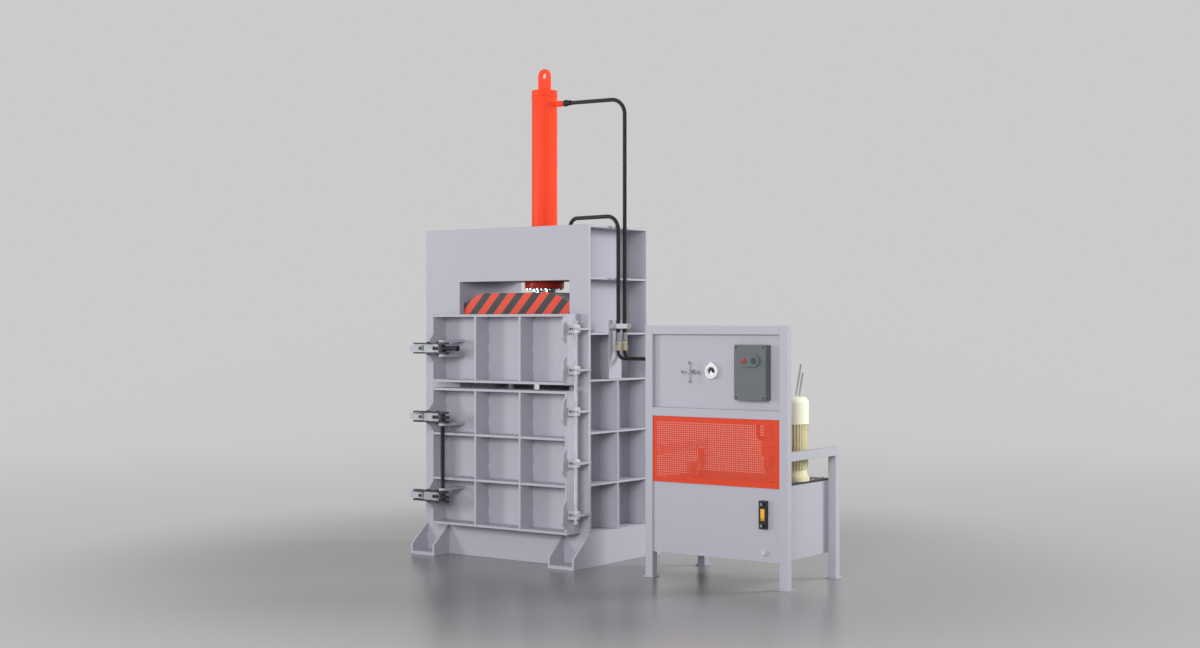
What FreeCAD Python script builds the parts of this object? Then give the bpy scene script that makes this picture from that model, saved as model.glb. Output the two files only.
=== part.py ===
import FreeCAD, Part
import math
import os

# Vertical recycling baler with its hydraulic power pack. Millimetres.
# X runs right along the front, Y to the back, Z up. The origin is on the floor,
# at the centre of the rectangle of anchor holes in the baler's four feet.

V = FreeCAD.Vector
X_AXIS, Y_AXIS, Z_AXIS = V(1, 0, 0), V(0, 1, 0), V(0, 0, 1)

# ---- baler frame ----
HALF_W, HALF_D, BODY_H = 660.0, 320.0, 2100.0
FRONT_T, REAR_T, WALL_T, TOP_T, FLOOR_T, RIB_T = 25.0, 15.0, 12.0, 15.0, 25.0, 12.0
CHAMBER_X0, CHAMBER_X1 = -371.0, 516.0
FLOOR_Z, OPENING_TOP = 211.0, 1761.0
REAR_WINDOW_Z0, REAR_WINDOW_Z1 = 1447.0, 1777.0
RIB_TOPS = (508.0, 826.0, 1148.0, 1435.0, 1777.0)
UPRIGHT_RIB_Y = -10.0
FRONT_Y, BACK_Y = -HALF_D, HALF_D
INNER_Y0, INNER_Y1 = FRONT_Y + FRONT_T, BACK_Y - REAR_T
CLEAR = 0.3

# ---- anchor feet ----
FOOT_W, FOOT_REACH, FOOT_PLATE_T, FOOT_GUSSET_T = 200.0, 148.0, 20.0, 16.0
GUSSET_LIP_Z, GUSSET_TOP_Z = 66.0, 190.0
ANCHOR_X, ANCHOR_Y, ANCHOR_R = 560.0, 400.0, 11.0

# ---- cylinder and ram ----
CYL_X, CYL_Y = 75.0, 0.0
BARREL_R, BORE_R, ROD_R = 82.5, 62.5, 35.0
GLAND_R, GLAND_Z0, GLAND_Z1 = 127.0, 1719.0, 1765.0
MOUNT_PLATE_T, BEAM_T, BEAM_GAP = 30.0, 20.0, 260.0
BARREL_TOP, CAP_T = 2960.0, 36.0
PORT_TOP_Z, PORT_LOW_Z, PORT_REACH = 2904.0, 1825.0, 58.0
PISTON_Z0, PISTON_L = 2795.0, 80.0
PLATEN_Z0, PLATEN_Z1, PLATEN_GAP, PLATEN_HALF_D = 1437.0, 1687.0, 10.0, 288.0
PLATEN_CHAMFER_X, PLATEN_CHAMFER_Z = 150.0, 62.0
ROD_FLANGE_R, ROD_FLANGE_T, NUT_CIRCLE_R = 78.0, 10.0, 58.0

# ---- doors ----
DOOR_X0, DOOR_X1 = -487.0, 603.0
UPPER_DOOR_Z0, UPPER_DOOR_Z1 = 1118.0, 1552.0
LOWER_DOOR_Z0, LOWER_DOOR_Z1 = 208.0, 1082.0
DOOR_GAP, PANEL_T, BAR_T, BAR_DEPTH = 1.0, 12.0, 16.0, 130.0
PANEL_Y1 = FRONT_Y - DOOR_GAP
PANEL_Y0 = PANEL_Y1 - PANEL_T
BAR_Y0 = PANEL_Y0 - BAR_DEPTH
SEAT_RISE, SEAT_HALF, SEAT_FOOT = 36.0, 50.0, 90.0

# ---- hinges ----
HINGE_X, HINGE_Y, HINGE_R = 648.0, -433.0, 11.0
UPPER_HINGES = (1335.0 - 125.0, 1335.0 + 125.0)
LOWER_HINGES = (645.0 - 314.0, 645.0, 645.0 + 314.0)
BLOCK_X0, BLOCK_X1, BLOCK_HALF_D, BLOCK_HALF_H = 604.0, 671.0, 17.0, 26.5
FORK_X0, FORK_HALF, LUG_HALF = 629.0, 7.5, 7.0

# Bale straps: three vertical slots in the rear plate, in line with the gaps under the press.
STRAP_X, STRAP_SLOT, STRAP_Z0, STRAP_Z1 = (-229.0, 72.5, 374.0), 44.0, 300.0, 1400.0
RUNNING_FIT = 0.08

# ---- latches ----
SHAFT_X, SHAFT_Y, SHAFT_R = -340.0, -523.0, 13.0
UPPER_LATCHES = (1335.0,)
LOWER_LATCHES = (645.0 - 252.0, 645.0 + 252.0)
PLATE_X0, PLATE_X1, PLATE_HALF_D = -584.0, -292.0, 20.0
PLATE_IN, PLATE_OUT = 25.0, 35.0
BEARING_IN, BEARING_OUT, BEARING_R = 38.0, 54.0, 24.0
KEEPER_X0, KEEPER_X1, KEEPER_Y, KEEPER_HALF_H = -612.0, -497.0, -543.0, 18.0

# ---- hoses and pipes ----
HOSE_R, PIPE_R, LINE_X = 12.5, 11.0, 700.0
HOSE_TOP_Y, HOSE_LOW_Y = 10.0, -58.0
UNION_Z0, UNION_Z1, PIPE_RUN_Z = 1325.0, 1385.0, 1275.0
CLAMP_Z0, CLAMP_Z1 = 1462.0, 1492.0
RISER_X_TOP, RISER_X_LOW = 1760.0, 1700.0

# ---- power pack ----
LEG_X0, LEG_X1, LEG_Y0, LEG_Y1, TUBE, TUBE_WALL = 1160.0, 2064.0, -374.0, 200.0, 50.0, 3.0
FRAME_H, REAR_LEG_H, MID_RAIL_Z, PAD, PAD_T = 1480.0, 770.0, 952.0, 70.0, 8.0
BAY_X0, BAY_X1 = LEG_X0 + TUBE / 2, LEG_X1 - TUBE / 2
PANEL_FACE_Y, CONTROL_PANEL_T = -370.0, 5.0
GUARD_Z0, GUARD_Y, GUARD_T, GUARD_BORDER, GUARD_PITCH, GUARD_HOLE = 567.0, -394.0, 3.0, 30.0, 25.0, 15.0
TANK_Z0, TANK_Z1, TANK_Y0, TANK_Y1, TANK_WALL, LID_T = 152.0, 575.0, -388.0, 190.0, 4.0, 12.0
LID_Z = TANK_Z1 + LID_T
MOTOR_X, MOTOR_Y, FIN_R, HOUSING_R, COWL_R = 1902.0, -80.0, 128.0, 114.0, 131.0
MOTOR_FLANGE_R, MOTOR_FLANGE_T, FINS_Z0, COWL_Z0, COWL_TOP = 136.0, 22.0, 655.0, 915.0, 1073.0
MOTOR_SHAFT_R = 14.0
VALVE_X0, VALVE_X1, VALVE_Y0, VALVE_Y1, VALVE_Z0, VALVE_Z1 = 1670.0, 1870.0, 105.0, 172.0, 785.0, 850.0
LEVERS = ((1797.0, 419.0), (1819.0, 367.0))
LEVER_Y, LEVER_LEAN, LEVER_R = 150.0, 10.4, 5.0
GAUGE_X, GAUGE_Z, GAUGE_R = 1585.0, 1218.0, 42.0
WHEEL_X, WHEEL_Z, WHEEL_ARM = 1451.0, 1214.0, 55.0
STARTER_X0, STARTER_X1, STARTER_Z0, STARTER_Z1, STARTER_D = 1763.0, 1969.0, 1060.0, 1372.0, 60.0
BUTTON_Z, STOP_X, START_X, BUTTON_R, PILL_HALF_H, PILL_D = 1283.0, 1835.0, 1898.0, 15.0, 34.0, 15.0
LEVEL_X, LEVEL_Z, DRAIN_Z = 1938.0, 418.0, 204.0


def box(x0, x1, y0, y1, z0, z1):
    return Part.makeBox(x1 - x0, y1 - y0, z1 - z0, V(x0, y0, z0))


def rod_z(x, y, z0, z1, radius):
    return Part.makeCylinder(radius, z1 - z0, V(x, y, z0), Z_AXIS)


def rod_y(x, z, y0, y1, radius):
    return Part.makeCylinder(radius, y1 - y0, V(x, y0, z), Y_AXIS)


def rod_x(y, z, x0, x1, radius):
    return Part.makeCylinder(radius, x1 - x0, V(x0, y, z), X_AXIS)


def prism(points, thickness):
    """A closed outline of 3-D points in one plane, extruded along a vector."""
    outline = Part.makePolygon(points + [points[0]])
    return Part.Face(outline).extrude(thickness)


def prism_z(points, z0, z1):
    return prism([V(x, y, z0) for x, y in points], V(0, 0, z1 - z0))


def prism_x(points, x0, x1):
    return prism([V(x0, y, z) for y, z in points], V(x1 - x0, 0, 0))


def prism_y(points, y0, y1):
    return prism([V(x, y0, z) for x, z in points], V(0, y1 - y0, 0))


def hex_z(x, y, z0, z1, flats):
    """A hexagonal prism that stands along Z, given by its width across flats."""
    reach = flats / 2 / math.cos(math.pi / 6)
    turn = [math.radians(60 * k) for k in range(6)]
    return prism_z([(x + reach * math.cos(a), y + reach * math.sin(a)) for a in turn], z0, z1)


def hex_y(x, z, y0, y1, flats):
    reach = flats / 2 / math.cos(math.pi / 6)
    turn = [math.radians(60 * k) for k in range(6)]
    return prism_y([(x + reach * math.cos(a), z + reach * math.sin(a)) for a in turn], y0, y1)


def fuse(shapes):
    return shapes[0].multiFuse(shapes[1:]).removeSplitter()


def save(name, solids):
    shape = solids if isinstance(solids, Part.Shape) else Part.makeCompound(solids)
    if not shape.isValid():
        print("not valid:", name)
    shape.exportStep("parts/" + name + ".step")


def bent_tube(points, radii, tube_r):
    """A round tube along straight runs joined by tangent arcs, one radius for each inner point."""
    edges = []
    start = points[0]
    for corner, after, radius in zip(points[1:-1], points[2:], radii):
        into = (corner - start).normalize()
        out = (after - corner).normalize()
        half_turn = into.getAngle(out) / 2
        trim = radius * math.tan(half_turn)
        arc_start = corner - into * trim
        arc_end = corner + out * trim
        to_centre = (out - into).normalize()
        middle = corner + to_centre * (radius / math.cos(half_turn) - radius)
        edges.append(Part.LineSegment(start, arc_start).toShape())
        edges.append(Part.Arc(arc_start, middle, arc_end).toShape())
        start = arc_end
    edges.append(Part.LineSegment(start, points[-1]).toShape())
    path = Part.Wire(edges)
    section = Part.Wire([Part.makeCircle(tube_r, points[0], points[1] - points[0])])
    tube = path.makePipeShell([section], True, True)
    length = sum(edge.Length for edge in edges)
    error = abs(tube.Volume / (math.pi * tube_r ** 2 * length) - 1)
    print("tube length %.0f, volume error %.4f" % (length, error))
    return tube


# ---- baler frame ----

def front_plate():
    plate = box(-HALF_W, HALF_W, FRONT_Y, INNER_Y0, 0, BODY_H)
    return plate.cut(box(CHAMBER_X0, CHAMBER_X1, FRONT_Y - 5, INNER_Y0 + 5, FLOOR_Z, OPENING_TOP))


def rear_plate():
    plate = box(-HALF_W, HALF_W, INNER_Y1, BACK_Y, 0, BODY_H)
    window = box(CHAMBER_X0, CHAMBER_X1, INNER_Y1 - 5, BACK_Y + 5, REAR_WINDOW_Z0, REAR_WINDOW_Z1)
    plate = plate.cut(window)
    for x in STRAP_X:
        slot = box(x - STRAP_SLOT / 2, x + STRAP_SLOT / 2, INNER_Y1 - 5, BACK_Y + 5, STRAP_Z0, STRAP_Z1)
        plate = plate.cut(slot)
    return plate


def chamber_walls():
    top = BODY_H - TOP_T
    left = box(CHAMBER_X0 - WALL_T, CHAMBER_X0, INNER_Y0, INNER_Y1, FLOOR_Z, top)
    right = box(CHAMBER_X1, CHAMBER_X1 + WALL_T, INNER_Y0, INNER_Y1, FLOOR_Z, top)
    return [left, right]


def top_plate():
    plate = box(-HALF_W, HALF_W, INNER_Y0, INNER_Y1, BODY_H - TOP_T, BODY_H)
    barrel_hole = rod_z(CYL_X, CYL_Y, BODY_H - TOP_T - 5, BODY_H + 5, BARREL_R + 1.5)
    hose_hole = rod_z(HOSE_RISE_X, CYL_Y, BODY_H - TOP_T - 5, BODY_H + 5, HOSE_R + 6)
    return plate.cut(barrel_hole).cut(hose_hole)


def base():
    """The floor plate, with two side plates and three box beams under it."""
    edge = HALF_W - RIB_T
    parts = [
        box(-edge, edge, INNER_Y0, INNER_Y1, FLOOR_Z - FLOOR_T, FLOOR_Z),
        box(-HALF_W, -edge, INNER_Y0, INNER_Y1, 0, FLOOR_Z - 1),
        box(edge, HALF_W, INNER_Y0, INNER_Y1, 0, FLOOR_Z - 1),
    ]
    beam_w, beam_wall, beam_z0 = 100.0, 6.0, 6.0
    beam_top = FLOOR_Z - FLOOR_T
    for x in (-280.0, CYL_X - beam_w / 2, 330.0):
        outer = box(x, x + beam_w, INNER_Y0, INNER_Y1, beam_z0, beam_top)
        inner = box(x + beam_wall, x + beam_w - beam_wall, INNER_Y0 - 5, INNER_Y1 + 5,
                    beam_z0 + beam_wall, beam_top - beam_wall)
        parts.append(outer.cut(inner))
    return parts


def side_ribs():
    """Flat ribs outside both chamber walls, with an upright rib between the lower ones."""
    parts = []
    spans = ((-HALF_W, CHAMBER_X0 - WALL_T), (CHAMBER_X1 + WALL_T, HALF_W))
    for x0, x1 in spans:
        below = FLOOR_Z
        for top in RIB_TOPS:
            parts.append(box(x0, x1, INNER_Y0, INNER_Y1, top - RIB_T, top))
            if top <= RIB_TOPS[3]:
                upright_y1 = UPRIGHT_RIB_Y + RIB_T
                parts.append(box(x0, x1, UPRIGHT_RIB_Y, upright_y1, below, top - RIB_T))
            below = top
    return parts


def strap_guides():
    """Flat strips on the side walls that keep the bale straps clear of the bale."""
    width, depth, z1 = 25.0, 6.0, 1430.0
    parts = []
    for y in (-193.0, 170.0):
        parts.append(box(CHAMBER_X0, CHAMBER_X0 + depth, y, y + width, FLOOR_Z, z1))
        parts.append(box(CHAMBER_X1 - depth, CHAMBER_X1, y, y + width, FLOOR_Z, z1))
    return parts


def cylinder_beams():
    """The plate that the cylinder hangs on, and the two beams above it."""
    top = BODY_H - TOP_T
    plate_z1 = GLAND_Z1 + MOUNT_PLATE_T
    plate = box(CHAMBER_X0, CHAMBER_X1, -170.0, 170.0, GLAND_Z1, plate_z1)
    plate = plate.cut(rod_z(CYL_X, CYL_Y, GLAND_Z1 - 5, plate_z1 + 5, BARREL_R + 0.5))
    parts = [plate]
    for y in (-BEAM_GAP / 2 - BEAM_T, BEAM_GAP / 2):
        parts.append(box(CHAMBER_X0, CHAMBER_X1, y, y + BEAM_T, plate_z1, top))
    return parts


def foot(side, face):
    """One anchor foot: a base plate with an anchor hole, and two gussets up the body's face."""
    root = face * HALF_D
    tip = face * (HALF_D + FOOT_REACH)
    outer = side * HALF_W
    inner = side * (HALF_W - FOOT_W)
    plate = box(min(outer, inner), max(outer, inner), min(root, tip), max(root, tip), 0, FOOT_PLATE_T)
    hole = rod_z(side * ANCHOR_X, face * ANCHOR_Y, -5, FOOT_PLATE_T + 5, ANCHOR_R)
    profile = [(root, FOOT_PLATE_T), (tip, FOOT_PLATE_T), (tip, GUSSET_LIP_Z), (root, GUSSET_TOP_Z)]
    gussets = []
    for edge in (outer, inner + side * FOOT_GUSSET_T):
        x0 = min(edge, edge - side * FOOT_GUSSET_T)
        gussets.append(prism_x(profile, x0, x0 + FOOT_GUSSET_T))
    return fuse([plate.cut(hole)] + gussets)


def feet():
    return [foot(side, face) for side in (-1, 1) for face in (-1, 1)]


# ---- hinges ----

def hinge_lug(z):
    """A flame-cut lug from the front plate's edge to an eye round the hinge rod."""
    reach = 17.0
    nose = [(-reach, 0), (5, -16.2), (30, -7), (40, 33), (20, 113), (20, 133), (12, 133), (12, 113), (-8, 113)]
    outline = [(HINGE_X + dx, HINGE_Y + dy) for dx, dy in nose]
    body = prism_z(outline, z - LUG_HALF, z + LUG_HALF)
    eye = rod_z(HINGE_X, HINGE_Y, z - LUG_HALF, z + LUG_HALF, reach)
    bore = rod_z(HINGE_X, HINGE_Y, z - 20, z + 20, HINGE_R + 0.05)
    return fuse([body, eye]).cut(bore)


def hinge_rod():
    low, high = LOWER_HINGES[0] - 46.0, UPPER_HINGES[-1] + 40.0
    rod = rod_z(HINGE_X, HINGE_Y, low, high, HINGE_R)
    head = rod_z(HINGE_X, HINGE_Y, high - 0.5, high + 8, HINGE_R + 5)
    foot_collar = rod_z(HINGE_X, HINGE_Y, low - 8, low + 0.5, HINGE_R + 5)
    return fuse([rod, head, foot_collar])


def hinge_block(z):
    """A forked block on the door: its two ears turn on the rod, above and below the lug."""
    y0, y1 = HINGE_Y - BLOCK_HALF_D, HINGE_Y + BLOCK_HALF_D
    corner = 8.0
    profile = [
        (BLOCK_X0, z - BLOCK_HALF_H), (BLOCK_X1 - corner, z - BLOCK_HALF_H),
        (BLOCK_X1, z - BLOCK_HALF_H + corner), (BLOCK_X1, z + BLOCK_HALF_H - corner),
        (BLOCK_X1 - corner, z + BLOCK_HALF_H), (BLOCK_X0, z + BLOCK_HALF_H),
    ]
    block = prism_y(profile, y0, y1)
    slot = box(FORK_X0, BLOCK_X1 + 5, y0 - 5, y1 + 5, z - FORK_HALF, z + FORK_HALF)
    bore = rod_z(HINGE_X, HINGE_Y, z - 40, z + 40, HINGE_R + RUNNING_FIT)
    screw_x = BLOCK_X0 + 13.0
    recess = rod_y(screw_x, z, y0 - 5, y0 + 18, 9.0)
    screw_hole = rod_y(screw_x, z, y0 + 10, y1 + 5, 6.5)
    return block.cut(slot).cut(bore).cut(recess).cut(screw_hole)


# ---- doors ----

def door_panel(z0, z1):
    return box(DOOR_X0, DOOR_X1, PANEL_Y0, PANEL_Y1, z0, z1)


def edge_bar(x, z0, z1, seats):
    """A flat edge bar whose front edge rises into a trapezoid seat at each fitting."""
    front = [(BAR_Y0, z0)]
    for z in seats:
        front += [
            (BAR_Y0, z - SEAT_FOOT), (BAR_Y0 - SEAT_RISE, z - SEAT_HALF),
            (BAR_Y0 - SEAT_RISE, z + SEAT_HALF), (BAR_Y0, z + SEAT_FOOT),
        ]
    front.append((BAR_Y0, z1))
    return prism_x(front + [(PANEL_Y0, z1), (PANEL_Y0, z0)], x, x + BAR_T)


def hinge_tab(z):
    """The tab beside the edge bar that a hinge block is screwed to."""
    y0 = HINGE_Y + BLOCK_HALF_D
    return box(DOOR_X1, HINGE_X - 20.0, y0, y0 + 24.0, z - 26.0, z + 26.0)


def latch_bearing(z0, z1):
    """A bearing arm from the door panel out to an eye round the latch shaft."""
    arm = box(SHAFT_X - BEARING_R, SHAFT_X + BEARING_R, SHAFT_Y, PANEL_Y0, z0, z1)
    eye = rod_z(SHAFT_X, SHAFT_Y, z0, z1, BEARING_R)
    bore = rod_z(SHAFT_X, SHAFT_Y, z0 - 5, z1 + 5, SHAFT_R + RUNNING_FIT)
    return fuse([arm, eye]).cut(bore)


def door_frame(z0, z1, rows, latches, hinges, bearings):
    """Flat bars on the door panel, with the hinge tabs and the latch shaft's bearings."""
    bay = (DOOR_X1 - DOOR_X0 - 4 * BAR_T) / 3
    starts = [DOOR_X0 + k * (bay + BAR_T) for k in range(4)]
    inset = 1.0
    row_gap = (z1 - z0 - 2 * inset - (rows + 1) * BAR_T) / rows
    levels = [z0 + inset + k * (row_gap + BAR_T) for k in range(rows + 1)]
    parts = [edge_bar(starts[0], z0, z1, latches), edge_bar(starts[3], z0, z1, hinges)]
    for x in starts[1:3]:
        parts.append(box(x, x + BAR_T, BAR_Y0, PANEL_Y0, z0, z1))
    for x in starts[:3]:
        for z in levels:
            parts.append(box(x + BAR_T, x + BAR_T + bay, BAR_Y0 + inset, PANEL_Y0, z, z + BAR_T))
    parts += [hinge_tab(z) for z in hinges]
    return parts + [latch_bearing(low, low + BEARING_OUT - BEARING_IN) for low in bearings]


# ---- latches ----

def keeper(z):
    """A flame-cut lug on the front plate; its rounded nose stands between the hook plates."""
    nose_r = 30.0
    body = box(KEEPER_X0, KEEPER_X1, KEEPER_Y + nose_r, FRONT_Y, z - KEEPER_HALF_H, z + KEEPER_HALF_H)
    front = box(KEEPER_X0 + nose_r, KEEPER_X1, KEEPER_Y, KEEPER_Y + nose_r + 1,
                z - KEEPER_HALF_H, z + KEEPER_HALF_H)
    corner = rod_z(KEEPER_X0 + nose_r, KEEPER_Y + nose_r, z - KEEPER_HALF_H, z + KEEPER_HALF_H, nose_r)
    screw_hole = rod_y(KEEPER_X1 - 13.0, z, KEEPER_Y - 5, KEEPER_Y + 40, 8.0)
    return fuse([body, front, corner]).cut(screw_hole)


def keeper_screw(z):
    """A set screw with a round head in the keeper's nose."""
    x = KEEPER_X1 - 13.0
    head = rod_y(x, z, KEEPER_Y - 9, KEEPER_Y, 10.0)
    shank = rod_y(x, z, KEEPER_Y - 1, KEEPER_Y + 39, 8.0)
    return fuse([head, shank])


def hook_plate(z0, z1):
    """One of the pair of long plates that turn with the latch shaft."""
    nose_cut = 12.0
    y0, y1 = SHAFT_Y - PLATE_HALF_D, SHAFT_Y + PLATE_HALF_D
    outline = [
        (PLATE_X0, y0 + nose_cut), (PLATE_X0 + nose_cut, y0), (PLATE_X1 - nose_cut, y0),
        (PLATE_X1, y0 + nose_cut), (PLATE_X1, y1 - nose_cut), (PLATE_X1 - nose_cut, y1),
        (PLATE_X0 + nose_cut, y1), (PLATE_X0, y1 - nose_cut),
    ]
    plate = prism_z(outline, z0, z1)
    return plate.cut(rod_z(SHAFT_X, SHAFT_Y, z0 - 5, z1 + 5, SHAFT_R + 0.05))


def hook_plates(latches):
    parts = []
    for z in latches:
        parts.append(hook_plate(z - PLATE_OUT, z - PLATE_IN))
        parts.append(hook_plate(z + PLATE_IN, z + PLATE_OUT))
    return parts


def clamp_block(z):
    """The block between a pair of hook plates, with a slot for its adjusting screw."""
    x0, x1 = KEEPER_X1 + 14.0, SHAFT_X - SHAFT_R - 8.0
    y0, y1 = SHAFT_Y - 18.0, SHAFT_Y + 18.0
    block = box(x0, x1, y0, y1, z - PLATE_IN, z + PLATE_IN)
    return block.cut(box(x0 + 76, x1 - 2, y0 - 5, y1 + 5, z - 9, z + 9))


def latch_shaft(z0, z1, latches):
    """A latch shaft with two collars inside each pair of hook plates."""
    parts = [rod_z(SHAFT_X, SHAFT_Y, z0, z1, SHAFT_R)]
    for z in latches:
        parts.append(rod_z(SHAFT_X, SHAFT_Y, z - PLATE_IN, z - 12, SHAFT_R + 6))
        parts.append(rod_z(SHAFT_X, SHAFT_Y, z + 12, z + PLATE_IN, SHAFT_R + 6))
        parts.append(rod_x(SHAFT_Y, z, SHAFT_X, SHAFT_X + 50, 8.0))
    return parts


def upper_latch_shaft():
    """The upper latch's short shaft with its round handle."""
    z = UPPER_LATCHES[0]
    reach = BEARING_OUT + 4
    handle = rod_x(SHAFT_Y, z, SHAFT_X + 14, SHAFT_X + 112, 14.0)
    knob = rod_x(SHAFT_Y, z, SHAFT_X + 112, SHAFT_X + 130, 18.0)
    return fuse(latch_shaft(z - reach, z + reach, UPPER_LATCHES) + [handle, knob])


def lower_latch_rod():
    low, high = LOWER_LATCHES[0] - PLATE_OUT - 2, LOWER_LATCHES[1] + PLATE_OUT + 2
    return fuse(latch_shaft(low, high, LOWER_LATCHES))


# ---- cylinder and ram ----

def cylinder_barrel():
    tube = rod_z(CYL_X, CYL_Y, GLAND_Z1, BARREL_TOP, BARREL_R)
    tube = tube.cut(rod_z(CYL_X, CYL_Y, GLAND_Z1 - 5, BARREL_TOP + 5, BORE_R))
    for z in (PORT_TOP_Z, PORT_LOW_Z):
        tube = tube.cut(rod_x(CYL_Y, z, CYL_X, CYL_X + BARREL_R + 5, 8.0))
    return tube


def cylinder_cap():
    """The end cap, with a lifting eye whose hole runs front to back."""
    eye_r, eye_half_t, eye_z, hole_r = 45.0, 10.0, 3092.0, 19.0
    cap_z1 = BARREL_TOP + CAP_T
    cap = rod_z(CYL_X, CYL_Y, BARREL_TOP, cap_z1, BARREL_R)
    spigot = rod_z(CYL_X, CYL_Y, BARREL_TOP - 12, BARREL_TOP + 1, BORE_R - 0.2)
    web = box(CYL_X - eye_r, CYL_X + eye_r, -eye_half_t, eye_half_t, cap_z1 - 1, eye_z)
    eye = rod_y(CYL_X, eye_z, -eye_half_t, eye_half_t, eye_r)
    hole = rod_y(CYL_X, eye_z, -eye_half_t - 5, eye_half_t + 5, hole_r)
    return fuse([cap, spigot, web, eye]).cut(hole)


def cylinder_gland():
    flange = rod_z(CYL_X, CYL_Y, GLAND_Z0, GLAND_Z1, GLAND_R)
    return flange.cut(rod_z(CYL_X, CYL_Y, GLAND_Z0 - 5, GLAND_Z1 + 5, ROD_R + CLEAR))


def gland_screws():
    """Twelve hexagon heads under the gland flange."""
    parts = []
    for k in range(12):
        turn = math.radians(30 * k + 15)
        x, y = CYL_X + 106 * math.cos(turn), CYL_Y + 106 * math.sin(turn)
        parts.append(hex_z(x, y, GLAND_Z0 - 10, GLAND_Z0, 24.0))
    return parts


def port_fitting(z):
    """A weld boss on the barrel with the hose's swivel nut."""
    wall = CYL_X + math.sqrt(BARREL_R ** 2 - 17.0 ** 2) - 1
    boss = Part.makeCone(17.0, 13.0, 30.0, V(wall, CYL_Y, z), X_AXIS)
    nut_x = wall + 30
    turn = [math.radians(60 * k) for k in range(6)]
    nut = prism_x([(CYL_Y + 19 * math.cos(a), z + 19 * math.sin(a)) for a in turn], nut_x, nut_x + 26)
    barrel = rod_z(CYL_X, CYL_Y, z - 40, z + 40, BARREL_R)
    return fuse([boss, nut]).cut(barrel)


def ram_piston():
    piston = rod_z(CYL_X, CYL_Y, PISTON_Z0, PISTON_Z0 + PISTON_L, BORE_R - CLEAR)
    for z in (PISTON_Z0 + 12, PISTON_Z0 + PISTON_L - 20):
        groove = rod_z(CYL_X, CYL_Y, z, z + 8, BORE_R + 5).cut(rod_z(CYL_X, CYL_Y, z, z + 8, BORE_R - 5))
        piston = piston.cut(groove)
    return piston


def ram_rod():
    return rod_z(CYL_X, CYL_Y, PLATEN_Z1 + ROD_FLANGE_T, PISTON_Z0, ROD_R)


def rod_flange():
    """The round flange on the platen, with six nuts."""
    top = PLATEN_Z1 + ROD_FLANGE_T
    parts = [rod_z(CYL_X, CYL_Y, PLATEN_Z1, top, ROD_FLANGE_R)]
    for k in range(6):
        turn = math.radians(60 * k + 30)
        x, y = CYL_X + NUT_CIRCLE_R * math.cos(turn), CYL_Y + NUT_CIRCLE_R * math.sin(turn)
        parts.append(hex_z(x, y, top, top + 13, 27.0))
    return parts


def platen():
    """A boxed press with chamfered top ends and cross webs, on four pads with strap gaps between."""
    x0, x1 = CHAMBER_X0 + PLATEN_GAP, CHAMBER_X1 - PLATEN_GAP
    face_t, base_t, roof_t, pad_t, strap_gap = 15.0, 13.0, 15.0, 12.0, 30.0
    shoulder = PLATEN_Z1 - PLATEN_CHAMFER_Z
    box_z0 = PLATEN_Z0 + pad_t
    outline = [
        (x0, box_z0), (x1, box_z0), (x1, shoulder), (x1 - PLATEN_CHAMFER_X, PLATEN_Z1),
        (x0 + PLATEN_CHAMFER_X, PLATEN_Z1), (x0, shoulder),
    ]
    hollow = [
        (x0 - 20, box_z0 + base_t), (x1 + 20, box_z0 + base_t), (x1 + 20, shoulder - roof_t - 8),
        (x1 - PLATEN_CHAMFER_X, PLATEN_Z1 - roof_t), (x0 + PLATEN_CHAMFER_X, PLATEN_Z1 - roof_t),
        (x0 - 20, shoulder - roof_t - 8),
    ]
    inner_y = PLATEN_HALF_D - face_t
    body = prism_y(outline, -PLATEN_HALF_D, PLATEN_HALF_D)
    body = body.cut(prism_y(hollow, -inner_y, inner_y))
    web_z0, web_z1 = box_z0 + base_t - 1, PLATEN_Z1 - roof_t + 1
    webs = [box(x, x + 12, -inner_y - 1, inner_y + 1, web_z0, web_z1) for x in (-100.0, 0.0, 138.0, 250.0)]
    pads = []
    left = x0 + 1
    for gap_x in [x - strap_gap / 2 for x in STRAP_X] + [x1 - 1]:
        pads.append(box(left, gap_x, 1 - PLATEN_HALF_D, PLATEN_HALF_D - 1, PLATEN_Z0, box_z0))
        left = gap_x + strap_gap
    return [fuse([body] + webs)] + pads


# ---- hoses and pipes ----

HOSE_START_X = CYL_X + BARREL_R + PORT_REACH - 4.0
HOSE_RISE_X = HOSE_START_X + 70.0


def hose_top():
    points = [
        V(HOSE_START_X, CYL_Y, PORT_TOP_Z), V(LINE_X, HOSE_TOP_Y, PORT_TOP_Z - 6),
        V(LINE_X, HOSE_TOP_Y, UNION_Z1),
    ]
    return bent_tube(points, [100.0], HOSE_R)


def hose_bottom():
    over = BODY_H + 63
    points = [
        V(HOSE_START_X, CYL_Y, PORT_LOW_Z), V(HOSE_RISE_X, CYL_Y, PORT_LOW_Z),
        V(HOSE_RISE_X, CYL_Y, over), V(LINE_X, HOSE_LOW_Y, over), V(LINE_X, HOSE_LOW_Y, UNION_Z1),
    ]
    return bent_tube(points, [62.0, 60.0, 95.0], HOSE_R)


def hose_bracket():
    return box(HALF_W, HALF_W + 6, -108.0, 25.0, RIB_TOPS[2], 1515.0)


def hose_clamp():
    block = box(HALF_W + 6, LINE_X + 16, -100.0, 45.0, CLAMP_Z0, CLAMP_Z1)
    for y in (HOSE_TOP_Y, HOSE_LOW_Y):
        block = block.cut(rod_z(LINE_X, y, CLAMP_Z0 - 5, CLAMP_Z1 + 5, HOSE_R + 0.1))
    screw = hex_y(LINE_X, (CLAMP_Z0 + CLAMP_Z1) / 2, -108.0, -100.0, 17.0)
    return [block, screw]


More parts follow.
